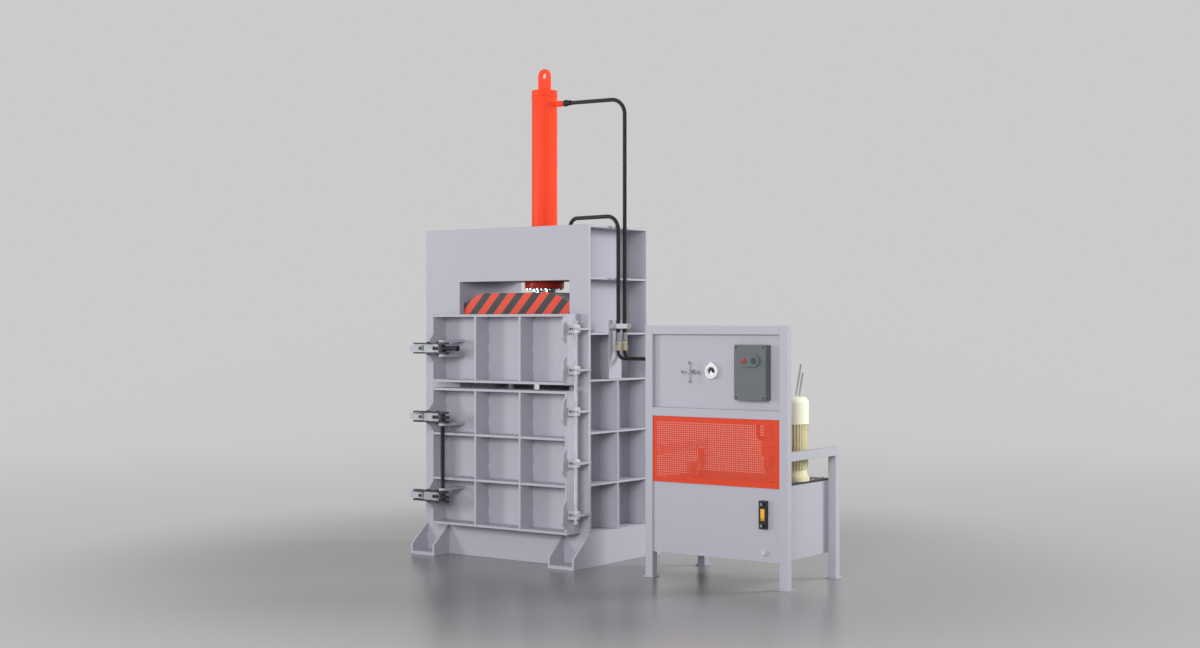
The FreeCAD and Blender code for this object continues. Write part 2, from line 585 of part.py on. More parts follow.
def pipe_union(y):
    """A hexagon union: a nut above and a larger nut below, with a neck between."""
    upper = hex_z(LINE_X, y, UNION_Z1 - 20, UNION_Z1, 34.0)
    neck = rod_z(LINE_X, y, UNION_Z1 - 28, UNION_Z1 - 19, 13.0)
    lower = hex_z(LINE_X, y, UNION_Z0, UNION_Z1 - 27, 36.0)
    return fuse([upper, neck, lower])


def supply_pipe(y, riser_x):
    """A pipe from a union, across to the power pack, down and back to the valve's front face."""
    port_z = (VALVE_Z0 + VALVE_Z1) / 2
    points = [
        V(LINE_X, y, UNION_Z0), V(LINE_X, y, PIPE_RUN_Z), V(riser_x, y, PIPE_RUN_Z),
        V(riser_x, y, port_z), V(riser_x, VALVE_Y0, port_z),
    ]
    return bent_tube(points, [45.0, 45.0, 40.0], PIPE_R)


def supply_pipes():
    parts = [supply_pipe(HOSE_TOP_Y, RISER_X_TOP), supply_pipe(HOSE_LOW_Y, RISER_X_LOW)]
    for x in (1715.0, 1825.0):
        parts.append(rod_z(x, (VALVE_Y0 + VALVE_Y1) / 2, LID_Z, VALVE_Z0, PIPE_R))
    return parts


# ---- power pack ----

def tube_z(x, y, z0, z1):
    """An upright square tube, closed at its top."""
    half = TUBE / 2
    inner = half - TUBE_WALL
    outer = box(x - half, x + half, y - half, y + half, z0, z1)
    return outer.cut(box(x - inner, x + inner, y - inner, y + inner, z0 - 5, z1 - TUBE_WALL))


def tube_x(y, z0):
    half = TUBE / 2
    outer = box(BAY_X0, BAY_X1, y - half, y + half, z0, z0 + TUBE)
    inner = box(BAY_X0 - 5, BAY_X1 + 5, y - half + TUBE_WALL, y + half - TUBE_WALL,
                z0 + TUBE_WALL, z0 + TUBE - TUBE_WALL)
    return outer.cut(inner)


def tube_y(x, z0):
    half = TUBE / 2
    y0, y1 = LEG_Y0 + half, LEG_Y1 - half
    outer = box(x - half, x + half, y0, y1, z0, z0 + TUBE)
    inner = box(x - half + TUBE_WALL, x + half - TUBE_WALL, y0 - 5, y1 + 5,
                z0 + TUBE_WALL, z0 + TUBE - TUBE_WALL)
    return outer.cut(inner)


def pack_frame():
    parts = []
    for x in (LEG_X0, LEG_X1):
        for y, height in ((LEG_Y0, FRAME_H), (LEG_Y1, REAR_LEG_H)):
            parts.append(tube_z(x, y, PAD_T, height + 1))
            parts.append(box(x - PAD / 2, x + PAD / 2, y - PAD / 2, y + PAD / 2, 0, PAD_T))
        parts.append(tube_y(x, REAR_LEG_H - TUBE))
    for z in (FRAME_H - TUBE, MID_RAIL_Z):
        parts.append(tube_x(LEG_Y0, z))
    return parts


def control_panel():
    y1 = PANEL_FACE_Y + CONTROL_PANEL_T
    plate = box(BAY_X0, BAY_X1, PANEL_FACE_Y, y1, MID_RAIL_Z + TUBE, FRAME_H - TUBE)
    return plate.cut(rod_y(WHEEL_X, WHEEL_Z, PANEL_FACE_Y - 5, y1 + 5, 8.3))


def mesh_guard():
    """A flat guard with a field of square holes inside a plain border."""
    z1 = MID_RAIL_Z
    count_x = int((BAY_X1 - BAY_X0 - 2 * GUARD_BORDER + GUARD_PITCH - GUARD_HOLE) // GUARD_PITCH)
    count_z = int((z1 - GUARD_Z0 - 2 * GUARD_BORDER + GUARD_PITCH - GUARD_HOLE) // GUARD_PITCH)
    field_x = count_x * GUARD_PITCH - (GUARD_PITCH - GUARD_HOLE)
    field_z = count_z * GUARD_PITCH - (GUARD_PITCH - GUARD_HOLE)
    x0 = (BAY_X0 + BAY_X1 - field_x) / 2
    z0 = (GUARD_Z0 + z1 - field_z) / 2
    plate = box(BAY_X0, BAY_X1, GUARD_Y, GUARD_Y + GUARD_T, GUARD_Z0, z1)
    holes = []
    for i in range(count_x):
        for k in range(count_z):
            x, z = x0 + i * GUARD_PITCH, z0 + k * GUARD_PITCH
            holes.append(box(x, x + GUARD_HOLE, GUARD_Y - 1, GUARD_Y + GUARD_T + 1, z, z + GUARD_HOLE))
    return plate.cut(Part.makeCompound(holes))


def oil_tank():
    shell = box(BAY_X0, BAY_X1, TANK_Y0, TANK_Y1, TANK_Z0, TANK_Z1)
    inside = box(BAY_X0 + TANK_WALL, BAY_X1 - TANK_WALL, TANK_Y0 + TANK_WALL, TANK_Y1 - TANK_WALL,
                 TANK_Z0 + TANK_WALL, TANK_Z1 + 5)
    drain_hole = rod_y(LEVEL_X, DRAIN_Z, TANK_Y0 - 5, TANK_Y0 + 10, 10.0)
    return shell.cut(inside).cut(drain_hole)


def tank_lid():
    lid = box(BAY_X0, BAY_X1, TANK_Y0 + 1, TANK_Y1, TANK_Z1, LID_Z)
    return lid.cut(rod_z(MOTOR_X, MOTOR_Y, TANK_Z1 - 5, LID_Z + 5, 70.0))


def tank_fittings():
    """The hexagon drain plug at the front, and the filler breather on the lid."""
    drain = fuse([
        rod_y(LEVEL_X, DRAIN_Z, TANK_Y0 - 6, TANK_Y0, 20.0),
        hex_y(LEVEL_X, DRAIN_Z, TANK_Y0 - 18, TANK_Y0 - 6, 27.0),
        rod_y(LEVEL_X, DRAIN_Z, TANK_Y0 - 1, TANK_Y0 + 10, 9.9),
    ])
    x, y = 1290.0, -120.0
    breather = fuse([rod_z(x, y, LID_Z, LID_Z + 25, 26.0), rod_z(x, y, LID_Z + 25, LID_Z + 80, 38.0)])
    return [drain, breather]


def level_gauge():
    """The sight gauge's frame, open over its window, with two fixing screws."""
    y0 = TANK_Y0 - 26
    frame = box(LEVEL_X - 24, LEVEL_X + 24, y0, TANK_Y0, LEVEL_Z - 79, LEVEL_Z + 79)
    recess = box(LEVEL_X - 14, LEVEL_X + 14, y0 - 5, TANK_Y0 - 8, LEVEL_Z - 34, LEVEL_Z + 34)
    screws = [hex_y(LEVEL_X, LEVEL_Z + dz, y0 - 8, y0, 19.0) for dz in (-60, 60)]
    return [frame.cut(recess)] + screws


def finned_outline(root_r, tip_r, fins, share):
    """A ring of points for a round body with straight fins."""
    points = []
    step = 360.0 / fins
    for k in range(fins):
        for turn, radius in ((0, root_r), (step * (1 - share), root_r), (step * (1 - share), tip_r), (step, tip_r)):
            a = math.radians(k * step + turn)
            points.append((MOTOR_X + radius * math.cos(a), MOTOR_Y + radius * math.sin(a)))
    return points


def motor_body():
    """The motor's housing: mounting flange, bell and finned barrel, with a bore for its shaft."""
    flange = rod_z(MOTOR_X, MOTOR_Y, LID_Z, LID_Z + MOTOR_FLANGE_T, MOTOR_FLANGE_R)
    bell = Part.makeCone(128.0, HOUSING_R, FINS_Z0 - LID_Z - MOTOR_FLANGE_T,
                         V(MOTOR_X, MOTOR_Y, LID_Z + MOTOR_FLANGE_T), Z_AXIS)
    barrel = prism_z(finned_outline(HOUSING_R, FIN_R, 40, 0.38), FINS_Z0, COWL_Z0)
    terminal_box = box(MOTOR_X - 55, MOTOR_X + 55, MOTOR_Y - FIN_R - 48, MOTOR_Y - 100, 735.0, 835.0)
    rear_bearing = rod_z(MOTOR_X, MOTOR_Y, COWL_Z0, COWL_Z0 + 22, 50.0)
    bore = rod_z(MOTOR_X, MOTOR_Y, LID_Z - 5, COWL_Z0 + 30, MOTOR_SHAFT_R + CLEAR)
    return fuse([flange, bell, barrel, terminal_box, rear_bearing]).cut(bore)


def motor_cowl():
    """The fan cowl: a thin spun cap with a rounded shoulder and a ring of air slots."""
    wall, shoulder = 2.5, 40.0
    outer = rod_z(MOTOR_X, MOTOR_Y, COWL_Z0, COWL_TOP, COWL_R)
    outer = outer.makeFillet(shoulder, [outer.Edges[0]] if outer.Edges[0].BoundBox.ZMin > COWL_Z0 + 1
                             else [outer.Edges[2]])
    inner = rod_z(MOTOR_X, MOTOR_Y, COWL_Z0 - 5, COWL_TOP - wall, COWL_R - wall)
    inner = inner.makeFillet(shoulder - wall, [e for e in inner.Edges if e.BoundBox.ZMin > COWL_Z0 + 1][:1])
    shell = outer.cut(inner)
    for k in range(18):
        slot = box(MOTOR_X + 26, MOTOR_X + 82, MOTOR_Y - 3, MOTOR_Y + 3, COWL_TOP - 10, COWL_TOP + 5)
        slot.rotate(V(MOTOR_X, MOTOR_Y, 0), Z_AXIS, 20 * k)
        shell = shell.cut(slot)
    return shell


def motor_rotor():
    """The turning shaft with the cooling fan at its top and a coupling half at its foot."""
    shaft = rod_z(MOTOR_X, MOTOR_Y, 470.0, 1005.0, MOTOR_SHAFT_R)
    hub = rod_z(MOTOR_X, MOTOR_Y, 955.0, 1000.0, 30.0)
    coupling = rod_z(MOTOR_X, MOTOR_Y, 470.0, 530.0, 38.0)
    blades = []
    for k in range(8):
        blade = box(MOTOR_X + 25, MOTOR_X + 105, MOTOR_Y - 2, MOTOR_Y + 2, 958.0, 998.0)
        blade.rotate(V(MOTOR_X, MOTOR_Y, 0), Z_AXIS, 45 * k)
        blades.append(blade)
    return fuse([shaft, hub, coupling] + blades)


def gear_pump():
    """The bell housing under the lid, open at its sides, and the pump with its shaft below it."""
    bell = rod_z(MOTOR_X, MOTOR_Y, 440.0, LID_Z, 69.0).cut(rod_z(MOTOR_X, MOTOR_Y, 435.0, LID_Z + 5, 58.0))
    for turn in (0, 90):
        window = box(MOTOR_X - 90, MOTOR_X + 90, MOTOR_Y - 28, MOTOR_Y + 28, 465.0, 545.0)
        window.rotate(V(MOTOR_X, MOTOR_Y, 0), Z_AXIS, turn)
        bell = bell.cut(window)
    base = rod_z(MOTOR_X, MOTOR_Y, 426.0, 440.0, 69.0)
    body = box(MOTOR_X - 46, MOTOR_X + 46, MOTOR_Y - 55, MOTOR_Y + 55, 320.0, 426.0)
    stub = rod_z(MOTOR_X, MOTOR_Y, 440.0, 466.0, 10.0)
    suction = rod_z(MOTOR_X, MOTOR_Y, 200.0, 320.0, 17.0)
    return [fuse([bell, base, body, stub, suction])]


def hand_valve():
    """The sectional hand valve on its stand."""
    block = box(VALVE_X0, VALVE_X1, VALVE_Y0, VALVE_Y1, VALVE_Z0, VALVE_Z1)
    parts = []
    for x, _ in LEVERS:
        block = block.cut(box(x - 8, x + 8, LEVER_Y - 30, VALVE_Y1 + 5, VALVE_Z1 - 22, VALVE_Z1 + 5))
    parts.append(block)
    for x in (VALVE_X0 + 8, VALVE_X1 - 20):
        parts.append(box(x, x + 12, VALVE_Y0, VALVE_Y1, LID_Z, VALVE_Z0))
    return parts


def valve_lever(x, length):
    """A slender lever with a flat boss, leaning outwards."""
    z = VALVE_Z1 - 10
    lean = math.radians(LEVER_LEAN)
    direction = V(math.sin(lean), 0, math.cos(lean))
    rod = Part.makeCylinder(LEVER_R, length, V(x, LEVER_Y, z), direction)
    boss = rod_x(LEVER_Y, z, x - 7, x + 7, 9.0)
    return fuse([rod, boss])


def pressure_gauge():
    """The gauge's case: a round dial case with a pointed top, hollow at the front."""
    y0 = PANEL_FACE_Y - 22
    case = rod_y(GAUGE_X, GAUGE_Z, y0, PANEL_FACE_Y, GAUGE_R)
    tip = prism_y([(GAUGE_X - 30, GAUGE_Z + 29), (GAUGE_X + 30, GAUGE_Z + 29), (GAUGE_X, GAUGE_Z + 56)],
                  y0, PANEL_FACE_Y)
    recess = rod_y(GAUGE_X, GAUGE_Z, y0 - 5, y0 + 8, 26.0)
    return fuse([case, tip]).cut(recess)


def gauge_pointer():
    y0 = PANEL_FACE_Y - 22
    hub = rod_y(GAUGE_X, GAUGE_Z, y0 + 1, y0 + 7.5, 4.0)
    lean = math.radians(225)
    reach, half = 21.0, 2.0
    tip = (GAUGE_X + reach * math.cos(lean), GAUGE_Z + reach * math.sin(lean))
    side = (-half * math.sin(lean), half * math.cos(lean))
    blade = prism_y([(GAUGE_X + side[0], GAUGE_Z + side[1]), (GAUGE_X - side[0], GAUGE_Z - side[1]), tip],
                    y0 + 2, y0 + 3.5)
    return fuse([hub, blade])


def panel_handwheel():
    """The valve spindle through the panel, with four arms that end in balls."""
    y_arms = PANEL_FACE_Y - 42
    parts = [
        rod_y(WHEEL_X, WHEEL_Z, y_arms, PANEL_FACE_Y + 40, 8.0),
        rod_y(WHEEL_X, WHEEL_Z, y_arms - 8, y_arms + 8, 11.0),
    ]
    for dx, dz in ((1, 0), (-1, 0), (0, 1), (0, -1)):
        parts.append(Part.makeCylinder(3.5, WHEEL_ARM, V(WHEEL_X, y_arms, WHEEL_Z), V(dx, 0, dz)))
        parts.append(Part.makeSphere(8.0, V(WHEEL_X + dx * WHEEL_ARM, y_arms, WHEEL_Z + dz * WHEEL_ARM)))
    return fuse(parts)


def starter_box():
    """The starter's case with rounded upright edges, and the raised pill round its two buttons."""
    y0 = PANEL_FACE_Y - STARTER_D
    case = box(STARTER_X0, STARTER_X1, y0, PANEL_FACE_Y, STARTER_Z0, STARTER_Z1)
    case = case.makeFillet(8.0, [e for e in case.Edges if e.BoundBox.YLength > STARTER_D - 1])
    pill = fuse([
        box(STOP_X, START_X, y0 - PILL_D, y0 + 1, BUTTON_Z - PILL_HALF_H, BUTTON_Z + PILL_HALF_H),
        rod_y(STOP_X, BUTTON_Z, y0 - PILL_D, y0 + 1, PILL_HALF_H),
        rod_y(START_X, BUTTON_Z, y0 - PILL_D, y0 + 1, PILL_HALF_H),
    ])
    whole = fuse([case, pill])
    for x in (STOP_X, START_X):
        whole = whole.cut(rod_y(x, BUTTON_Z, y0 - PILL_D - 5, y0 + 8, BUTTON_R + CLEAR))
    return whole


def push_button(x):
    y0 = PANEL_FACE_Y - STARTER_D - PILL_D
    return rod_y(x, BUTTON_Z, y0 - 6, y0 + 14, BUTTON_R)


NODES = {
    "front_plate": front_plate(),
    "rear_plate": rear_plate(),
    "chamber_walls": chamber_walls(),
    "top_plate": top_plate(),
    "base": base(),
    "side_ribs": side_ribs(),
    "strap_guides": strap_guides(),
    "cylinder_beams": cylinder_beams(),
    "anchor_feet": feet(),
    "hinge_lugs": [hinge_lug(z) for z in LOWER_HINGES + UPPER_HINGES],
    "hinge_rod": hinge_rod(),
    "latch_keepers": [keeper(z) for z in LOWER_LATCHES + UPPER_LATCHES],
    "keeper_screws": [keeper_screw(z) for z in LOWER_LATCHES + UPPER_LATCHES],
    "cylinder_barrel": cylinder_barrel(),
    "cylinder_cap": cylinder_cap(),
    "cylinder_gland": cylinder_gland(),
    "gland_screws": gland_screws(),
    "port_fittings": [port_fitting(PORT_TOP_Z), port_fitting(PORT_LOW_Z)],
    "hose_top": hose_top(),
    "hose_bottom": hose_bottom(),
    "hose_bracket": hose_bracket(),
    "hose_clamp": hose_clamp(),
    "pipe_unions": [pipe_union(y) for y in (HOSE_TOP_Y, HOSE_LOW_Y)],
    "supply_pipes": supply_pipes(),
    "ram_piston": ram_piston(),
    "ram_rod": ram_rod(),
    "rod_flange": rod_flange(),
    "platen": platen(),
    "upper_door_panel": door_panel(UPPER_DOOR_Z0, UPPER_DOOR_Z1),
    "upper_door_frame": door_frame(UPPER_DOOR_Z0, UPPER_DOOR_Z1, 1, UPPER_LATCHES, UPPER_HINGES,
                                   (UPPER_LATCHES[0] - BEARING_OUT, UPPER_LATCHES[0] + BEARING_IN)),
    "upper_hinge_blocks": [hinge_block(z) for z in UPPER_HINGES],
    "lower_door_panel": door_panel(LOWER_DOOR_Z0, LOWER_DOOR_Z1),
    "lower_door_frame": door_frame(LOWER_DOOR_Z0, LOWER_DOOR_Z1, 3, LOWER_LATCHES, LOWER_HINGES,
                                   (LOWER_LATCHES[0] + BEARING_IN, LOWER_LATCHES[1] - BEARING_OUT)),
    "lower_hinge_blocks": [hinge_block(z) for z in LOWER_HINGES],
    "upper_latch_shaft": upper_latch_shaft(),
    "upper_hook_plates": hook_plates(UPPER_LATCHES),
    "upper_clamp_block": clamp_block(UPPER_LATCHES[0]),
    "lower_latch_rod": lower_latch_rod(),
    "lower_hook_plates": hook_plates(LOWER_LATCHES),
    "lower_clamp_blocks": [clamp_block(z) for z in LOWER_LATCHES],
    "pack_frame": pack_frame(),
    "control_panel": control_panel(),
    "mesh_guard": mesh_guard(),
    "oil_tank": oil_tank(),
    "tank_lid": tank_lid(),
    "tank_fittings": tank_fittings(),
    "level_gauge": level_gauge(),
    "motor_body": motor_body(),
    "motor_cowl": motor_cowl(),
    "motor_rotor": motor_rotor(),
    "gear_pump": gear_pump(),
    "hand_valve": hand_valve(),
    "left_valve_lever": valve_lever(*LEVERS[0]),
    "right_valve_lever": valve_lever(*LEVERS[1]),
    "pressure_gauge": pressure_gauge(),
    "gauge_pointer": gauge_pointer(),
    "panel_handwheel": panel_handwheel(),
    "starter_box": starter_box(),
    "stop_button": push_button(STOP_X),
    "start_button": push_button(START_X),
}

os.makedirs("parts", exist_ok=True)
for node, node_shape in NODES.items():
    save(node, node_shape)
print(len(NODES), "nodes")
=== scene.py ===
import math

import bmesh
import bpy
import numpy as np
from bpy.props import FloatProperty, FloatVectorProperty, PointerProperty
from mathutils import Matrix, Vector


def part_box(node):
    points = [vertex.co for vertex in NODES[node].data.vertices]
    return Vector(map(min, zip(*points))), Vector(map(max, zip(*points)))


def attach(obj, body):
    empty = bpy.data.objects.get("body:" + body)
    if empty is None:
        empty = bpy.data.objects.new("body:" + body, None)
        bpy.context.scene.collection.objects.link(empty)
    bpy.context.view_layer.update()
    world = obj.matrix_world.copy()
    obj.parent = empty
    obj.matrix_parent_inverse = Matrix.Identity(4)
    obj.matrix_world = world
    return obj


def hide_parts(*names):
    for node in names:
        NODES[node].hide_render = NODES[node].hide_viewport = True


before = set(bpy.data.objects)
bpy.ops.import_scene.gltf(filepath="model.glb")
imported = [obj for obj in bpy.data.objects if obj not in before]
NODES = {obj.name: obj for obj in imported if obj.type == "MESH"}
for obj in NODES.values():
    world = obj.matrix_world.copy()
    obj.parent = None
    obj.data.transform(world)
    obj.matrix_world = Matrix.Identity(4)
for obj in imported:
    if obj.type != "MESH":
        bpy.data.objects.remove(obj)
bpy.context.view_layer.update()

bl_info = {
    "name": "Recycling Baler Finish",
    "version": (1, 0, 0),
    "blender": (4, 5, 0),
    "location": "3D View > Sidebar > Baler",
    "description": "Paint, metal, hazard stripes, welds and small fittings of a recycling baler and its power pack",
    "category": "Object",
}

X, Y, Z = np.eye(3)

# The CAD nodes that a finish covers together.
BALER_PLATES = (
    "front_plate", "rear_plate", "chamber_walls", "top_plate", "base", "side_ribs",
    "cylinder_beams", "anchor_feet", "hinge_lugs", "latch_keepers", "hose_bracket", "hose_clamp",
    "upper_door_panel", "upper_door_frame", "lower_door_panel", "lower_door_frame",
)
CYLINDER_PIECES = ("cylinder_barrel", "cylinder_cap", "port_fittings")
FORGED_PIECES = (
    "upper_hook_plates", "lower_hook_plates", "keeper_screws", "upper_latch_shaft", "lower_latch_rod", "gear_pump",
    "hand_valve",
)
HINGE_PIECES = ("upper_hinge_blocks", "lower_hinge_blocks", "hinge_rod")
CLAMP_PIECES = ("upper_clamp_block", "lower_clamp_blocks")
TURNED_PIECES = ("panel_handwheel", "left_valve_lever", "right_valve_lever", "motor_rotor")

# Places in the CAD model that new pieces go by, in metres.
PORT_Z = (2.904, 1.825)
HOSE_RADIUS = 0.0125
LATCH_Y = -0.523
LATCH_Z = {"upper_latch": (1.335,), "lower_latch": (0.393, 0.897)}
HINGE_SCREW_X = 0.617
HINGE_Z = {"upper_door": (1.210, 1.460), "lower_door": (0.331, 0.645, 0.959)}
RIB_TOPS = (0.508, 0.826, 1.148, 1.435, 1.777)
GAUGE_X, GAUGE_Z = 1.585, 1.218
WHEEL_FOOT = (1.451, -0.370, 1.214)
BUTTON_X, BUTTON_Z = (1.835, 1.898), 1.283
LEVEL_X, LEVEL_Z = 1.938, 0.418
MOTOR_X, MOTOR_Y, TERMINAL_Z = 1.902, -0.080, 0.785


def colour(name, text, value):
    """A colour property with its name, description and default."""
    return FloatVectorProperty(name=name, description=text, default=value, size=3, min=0.0, max=1.0, subtype="COLOR")


def length(name, text, value):
    """A length property in metres."""
    return FloatProperty(name=name, description=text, default=value, min=0.0, unit="LENGTH", precision=4)


def power(name, text, value):
    """A light's power in watts."""
    return FloatProperty(name=name, description=text, default=value, min=0.0, unit="POWER")


class BalerPaint(bpy.types.PropertyGroup):
    """Colours of the machine's paints, metals and plastics."""
    plate: colour("Plate paint", "Light lilac-grey paint on all plates", (0.437, 0.432, 0.492))
    pack: colour("Pack paint", "The same paint on the power pack", (0.437, 0.432, 0.492))
    cylinder: colour("Cylinder paint", "Red-orange gloss paint", (0.95, 0.07, 0.025))
    # Painted shade: a darker copy of the cylinder red, standing in for the shadow the gland flange sits in.
    gland: colour("Gland paint", "Deep red of the gland flange", (0.55, 0.03, 0.018))
    guard: colour("Guard paint", "Red-orange paint of the guard", (0.68, 0.062, 0.025))
    stripe_red: colour("Stripe red", "Red of the press's warning stripes", (0.72, 0.06, 0.025))
    stripe_dark: colour("Stripe dark", "Dark grey of the press's warning stripes", (0.035, 0.035, 0.038))
    motor: colour("Motor paint", "Cream paint of the finned body", (0.74, 0.69, 0.44))
    cowl: colour("Cowl paint", "Paler cream paint of the fan cowl", (0.91, 0.90, 0.72))
    starter: colour("Starter paint", "Grey-green paint of the starter box", (0.13, 0.145, 0.15))
    forged: colour("Forged steel", "Dark oiled steel", (0.045, 0.045, 0.055))
    hinge: colour("Hinge steel", "Pale zinc of the hinge blocks", (0.60, 0.60, 0.635))
    clamp: colour("Clamp steel", "Grey steel of the latch blocks", (0.34, 0.36, 0.385))
    machined: colour("Machined steel", "Bright turned steel", (0.58, 0.58, 0.6))
    brass: colour("Brass", "Pale brass of the unions", (0.90, 0.80, 0.58))
    rubber: colour("Hose cover", "Black hose rubber", (0.012, 0.012, 0.016))
    pipe: colour("Pipe paint", "Black paint of the steel pipes", (0.016, 0.016, 0.018))
    stop: colour("Stop button", "Red plastic", (0.36, 0.035, 0.05))
    start: colour("Start button", "Dark green plastic", (0.035, 0.07, 0.05))
    oil: colour("Gauge window", "Amber window of the level gauge", (0.80, 0.40, 0.03))


class BalerDetail(bpy.types.PropertyGroup):
    """Sizes of the finer details."""
    plate_edge: length("Plate edge", "Rounding of the plates' cut edges", 0.0016)
    tube_edge: length("Tube edge", "Rounding of the square tubes' corners", 0.005)
    fitting_edge: length("Fitting edge", "Rounding of small fittings' edges", 0.0008)
    weld: length("Weld leg", "Leg of the fillet welds", 0.006)
    weld_length: length("Weld length", "Length of one stitch of weld", 0.055)
    weld_pitch: length("Weld pitch", "Spacing of the stitches", 0.12)
    guard_pitch: length("Guard pitch", "Spacing of the guard's holes", 0.0125)
    guard_hole: length("Guard hole", "Side of the guard's square holes", 0.0054)
    stripe_pitch: length("Stripe pitch", "Spacing of the warning stripes along the press", 0.1325)
    stripe_lean: FloatProperty(name="Stripe lean", description="Lean of the warning stripes from upright",
                               default=math.radians(43), subtype="ANGLE")
    stripe_start: length("Stripe start", "Where the first red stripe begins", 0.1218)


class BalerStage(bpy.types.PropertyGroup):
    """Floor, lights and camera."""
    floor: colour("Floor", "Pale floor", (0.24, 0.24, 0.24))
    backdrop: colour("Backdrop", "Evenly lit pale backdrop", (0.597, 0.597, 0.597))
    key: power("Key light", "Power of the light from the front left", 200.0)
    side: power("Side light", "Power of the light from the back right", 660.0)
    fill: power("Fill light", "Power of the large soft light by the camera", 620.0)
    sky: FloatProperty(name="Room light", description="Strength of the even room light", default=0.48, min=0.0)
    lens: FloatProperty(name="Lens", description="Focal length in millimetres", default=50.0, min=10.0)


# ---------------------------------------------------------------- shapes

def sheet_grid(points, wrap=False):
    """A grid of points as vertices and four-sided faces; with wrap its second direction closes on itself."""
    rows, cols = points.shape[:2]
    i = np.arange(rows * cols).reshape(rows, cols)
    nxt = np.roll(i, -1, axis=1)
    span = cols if wrap else cols - 1
    quads = np.stack([i[:-1, :span], nxt[:-1, :span], nxt[1:, :span], i[1:, :span]], axis=-1)
    return points.reshape(-1, 3), quads.reshape(-1, 4)


def turned(profile, sides=32):
    """A turned shape about Z: p(a, t) = (r(t) cos a, r(t) sin a, h(t)) for the profile's points (r, h)."""
    ring = np.linspace(0.0, 2 * np.pi, sides, endpoint=False)
    r, h = np.asarray(profile, float).T[..., None]
    return sheet_grid(np.stack(np.broadcast_arrays(r * np.cos(ring), r * np.sin(ring), h), axis=-1), wrap=True)


def soft_block(size, radius, steps=3):
    """A block with round edges: p = sign(n) (half - r) + r n, for the directions n of a sphere's grid."""
    half = np.asarray(size, float) / 2
    quarter = np.linspace(0.0, np.pi / 2, steps + 1)
    turn = np.concatenate([quarter + k * np.pi / 2 for k in range(4)])
    quadrant = np.repeat(np.arange(4), steps + 1)
    sx, sy = np.array([1, -1, -1, 1])[quadrant], np.array([1, 1, -1, -1])[quadrant]
    lift = np.concatenate([quarter - np.pi / 2, quarter])[:, None]
    sz = np.repeat([-1, 1], steps + 1)[:, None]
    n = np.stack(np.broadcast_arrays(np.cos(lift) * np.cos(turn), np.cos(lift) * np.sin(turn), np.sin(lift)), axis=-1)
    p = np.stack(np.broadcast_arrays(sx, sy, sz), axis=-1) * (half - radius) + radius * n
    low, high = np.zeros((2, 1) + p.shape[1:])
    low[..., 2], high[..., 2] = -half[2], half[2]
    return sheet_grid(np.concatenate([low, p, high]), wrap=True)


def joined(*shapes):
    """Several shapes as one: their vertices one after another, with each shape's faces counted on from the last."""
    starts = np.cumsum([0] + [len(v) for v, _ in shapes[:-1]])
    return np.concatenate([v for v, _ in shapes]), np.concatenate([q + s for (_, q), s in zip(shapes, starts)])


def moved(shape, place):
    """The shape moved to a place."""
    return shape[0] + np.asarray(place, float), shape[1]


def scattered(shape, origins, axis=Z, turn=0.0):
    """The shape repeated at each origin, its Z laid along the axis: p' = R p + o."""
    w = np.asarray(axis, float) / np.linalg.norm(axis)
    u = np.cross(X if abs(w[0]) < 0.9 else Y, w)
    u /= np.linalg.norm(u)
    v = np.cross(w, u)
    axes = np.stack([math.cos(turn) * u + math.sin(turn) * v, math.cos(turn) * v - math.sin(turn) * u, w])
    verts, quads = shape
    origins = np.atleast_2d(np.asarray(origins, float))
    placed = (verts @ axes)[None] + origins[:, None]
    faces = quads[None] + (np.arange(len(origins)) * len(verts))[:, None, None]
    return placed.reshape(-1, 3), faces.reshape(-1, 4)


def hex_head(flats, height, washer):
    """A hexagon head with a chamfered top on a round washer."""
    reach = flats / 2 / math.cos(math.pi / 6)
    top = washer + height
    head = turned([(0, washer), (reach, washer), (reach, washer + height * 0.82), (reach * 0.9, top), (0, top)], 6)
    disc = turned([(0, 0), (flats * 0.98, 0), (flats, washer * 0.3), (flats, washer * 0.8),
                   (flats * 0.97, washer), (0, washer)], 28)
    return joined(disc, head)


def socket_head(radius, height, socket):
    """A round screw head with a hexagon socket sunk in its top."""
    rim = socket * 1.25
    outer = turned([(0, 0), (radius, 0), (radius, height * 0.85), (radius * 0.88, height), (rim, height)], 24)
    floor = height * 0.4
    well = turned([(rim, height), (socket * 1.15, height - 0.0003), (socket * 1.1, floor), (0, floor)], 24)
    return joined(outer, well)


def pan_head(radius, height):
    """A low domed screw head: h(r) falls as a quarter of an ellipse."""
    t = np.linspace(0, np.pi / 2, 6)
    dome = [(radius * math.sin(a), height * math.cos(a)) for a in t]
    return turned([(0, height)] + dome[1:] + [(0, 0)], 20)


def ring_nut(bore, flats, height):
    """A hexagon nut with a round bore, its top edge chamfered: r(a) = (flats / 2) / cos(a) within each flat."""
    reach = flats / 2 / math.cos(math.pi / 6)
    sides = 36
    turn = np.linspace(0, 2 * np.pi, sides, endpoint=False)
    hexagon = (flats / 2) / np.cos((turn + np.pi / 6) % (np.pi / 3) - np.pi / 6)
    inside = np.full(sides, bore)
    rings = np.stack([inside, hexagon, hexagon, np.minimum(hexagon, reach * 0.93), inside, inside])
    heights = np.array([0, 0, height * 0.82, height, height, 0])[:, None]
    p = np.stack(np.broadcast_arrays(rings * np.cos(turn), rings * np.sin(turn), heights), -1)
    return sheet_grid(p, wrap=True)


def stitches(start, end, pitch, stitch):
    """The starts and ends of the weld's stitches along one line, centred on it."""
    start, end = np.asarray(start, float), np.asarray(end, float)
    run = np.linalg.norm(end - start)
    count = max(1, int((run - stitch) // pitch) + 1)
    first = (run - (count - 1) * pitch - stitch) / 2
    at = (first + np.arange(count) * pitch) / run
    share = min(stitch, run) / run
    return start + (end - start) * at[:, None], start + (end - start) * (at + share)[:, None]


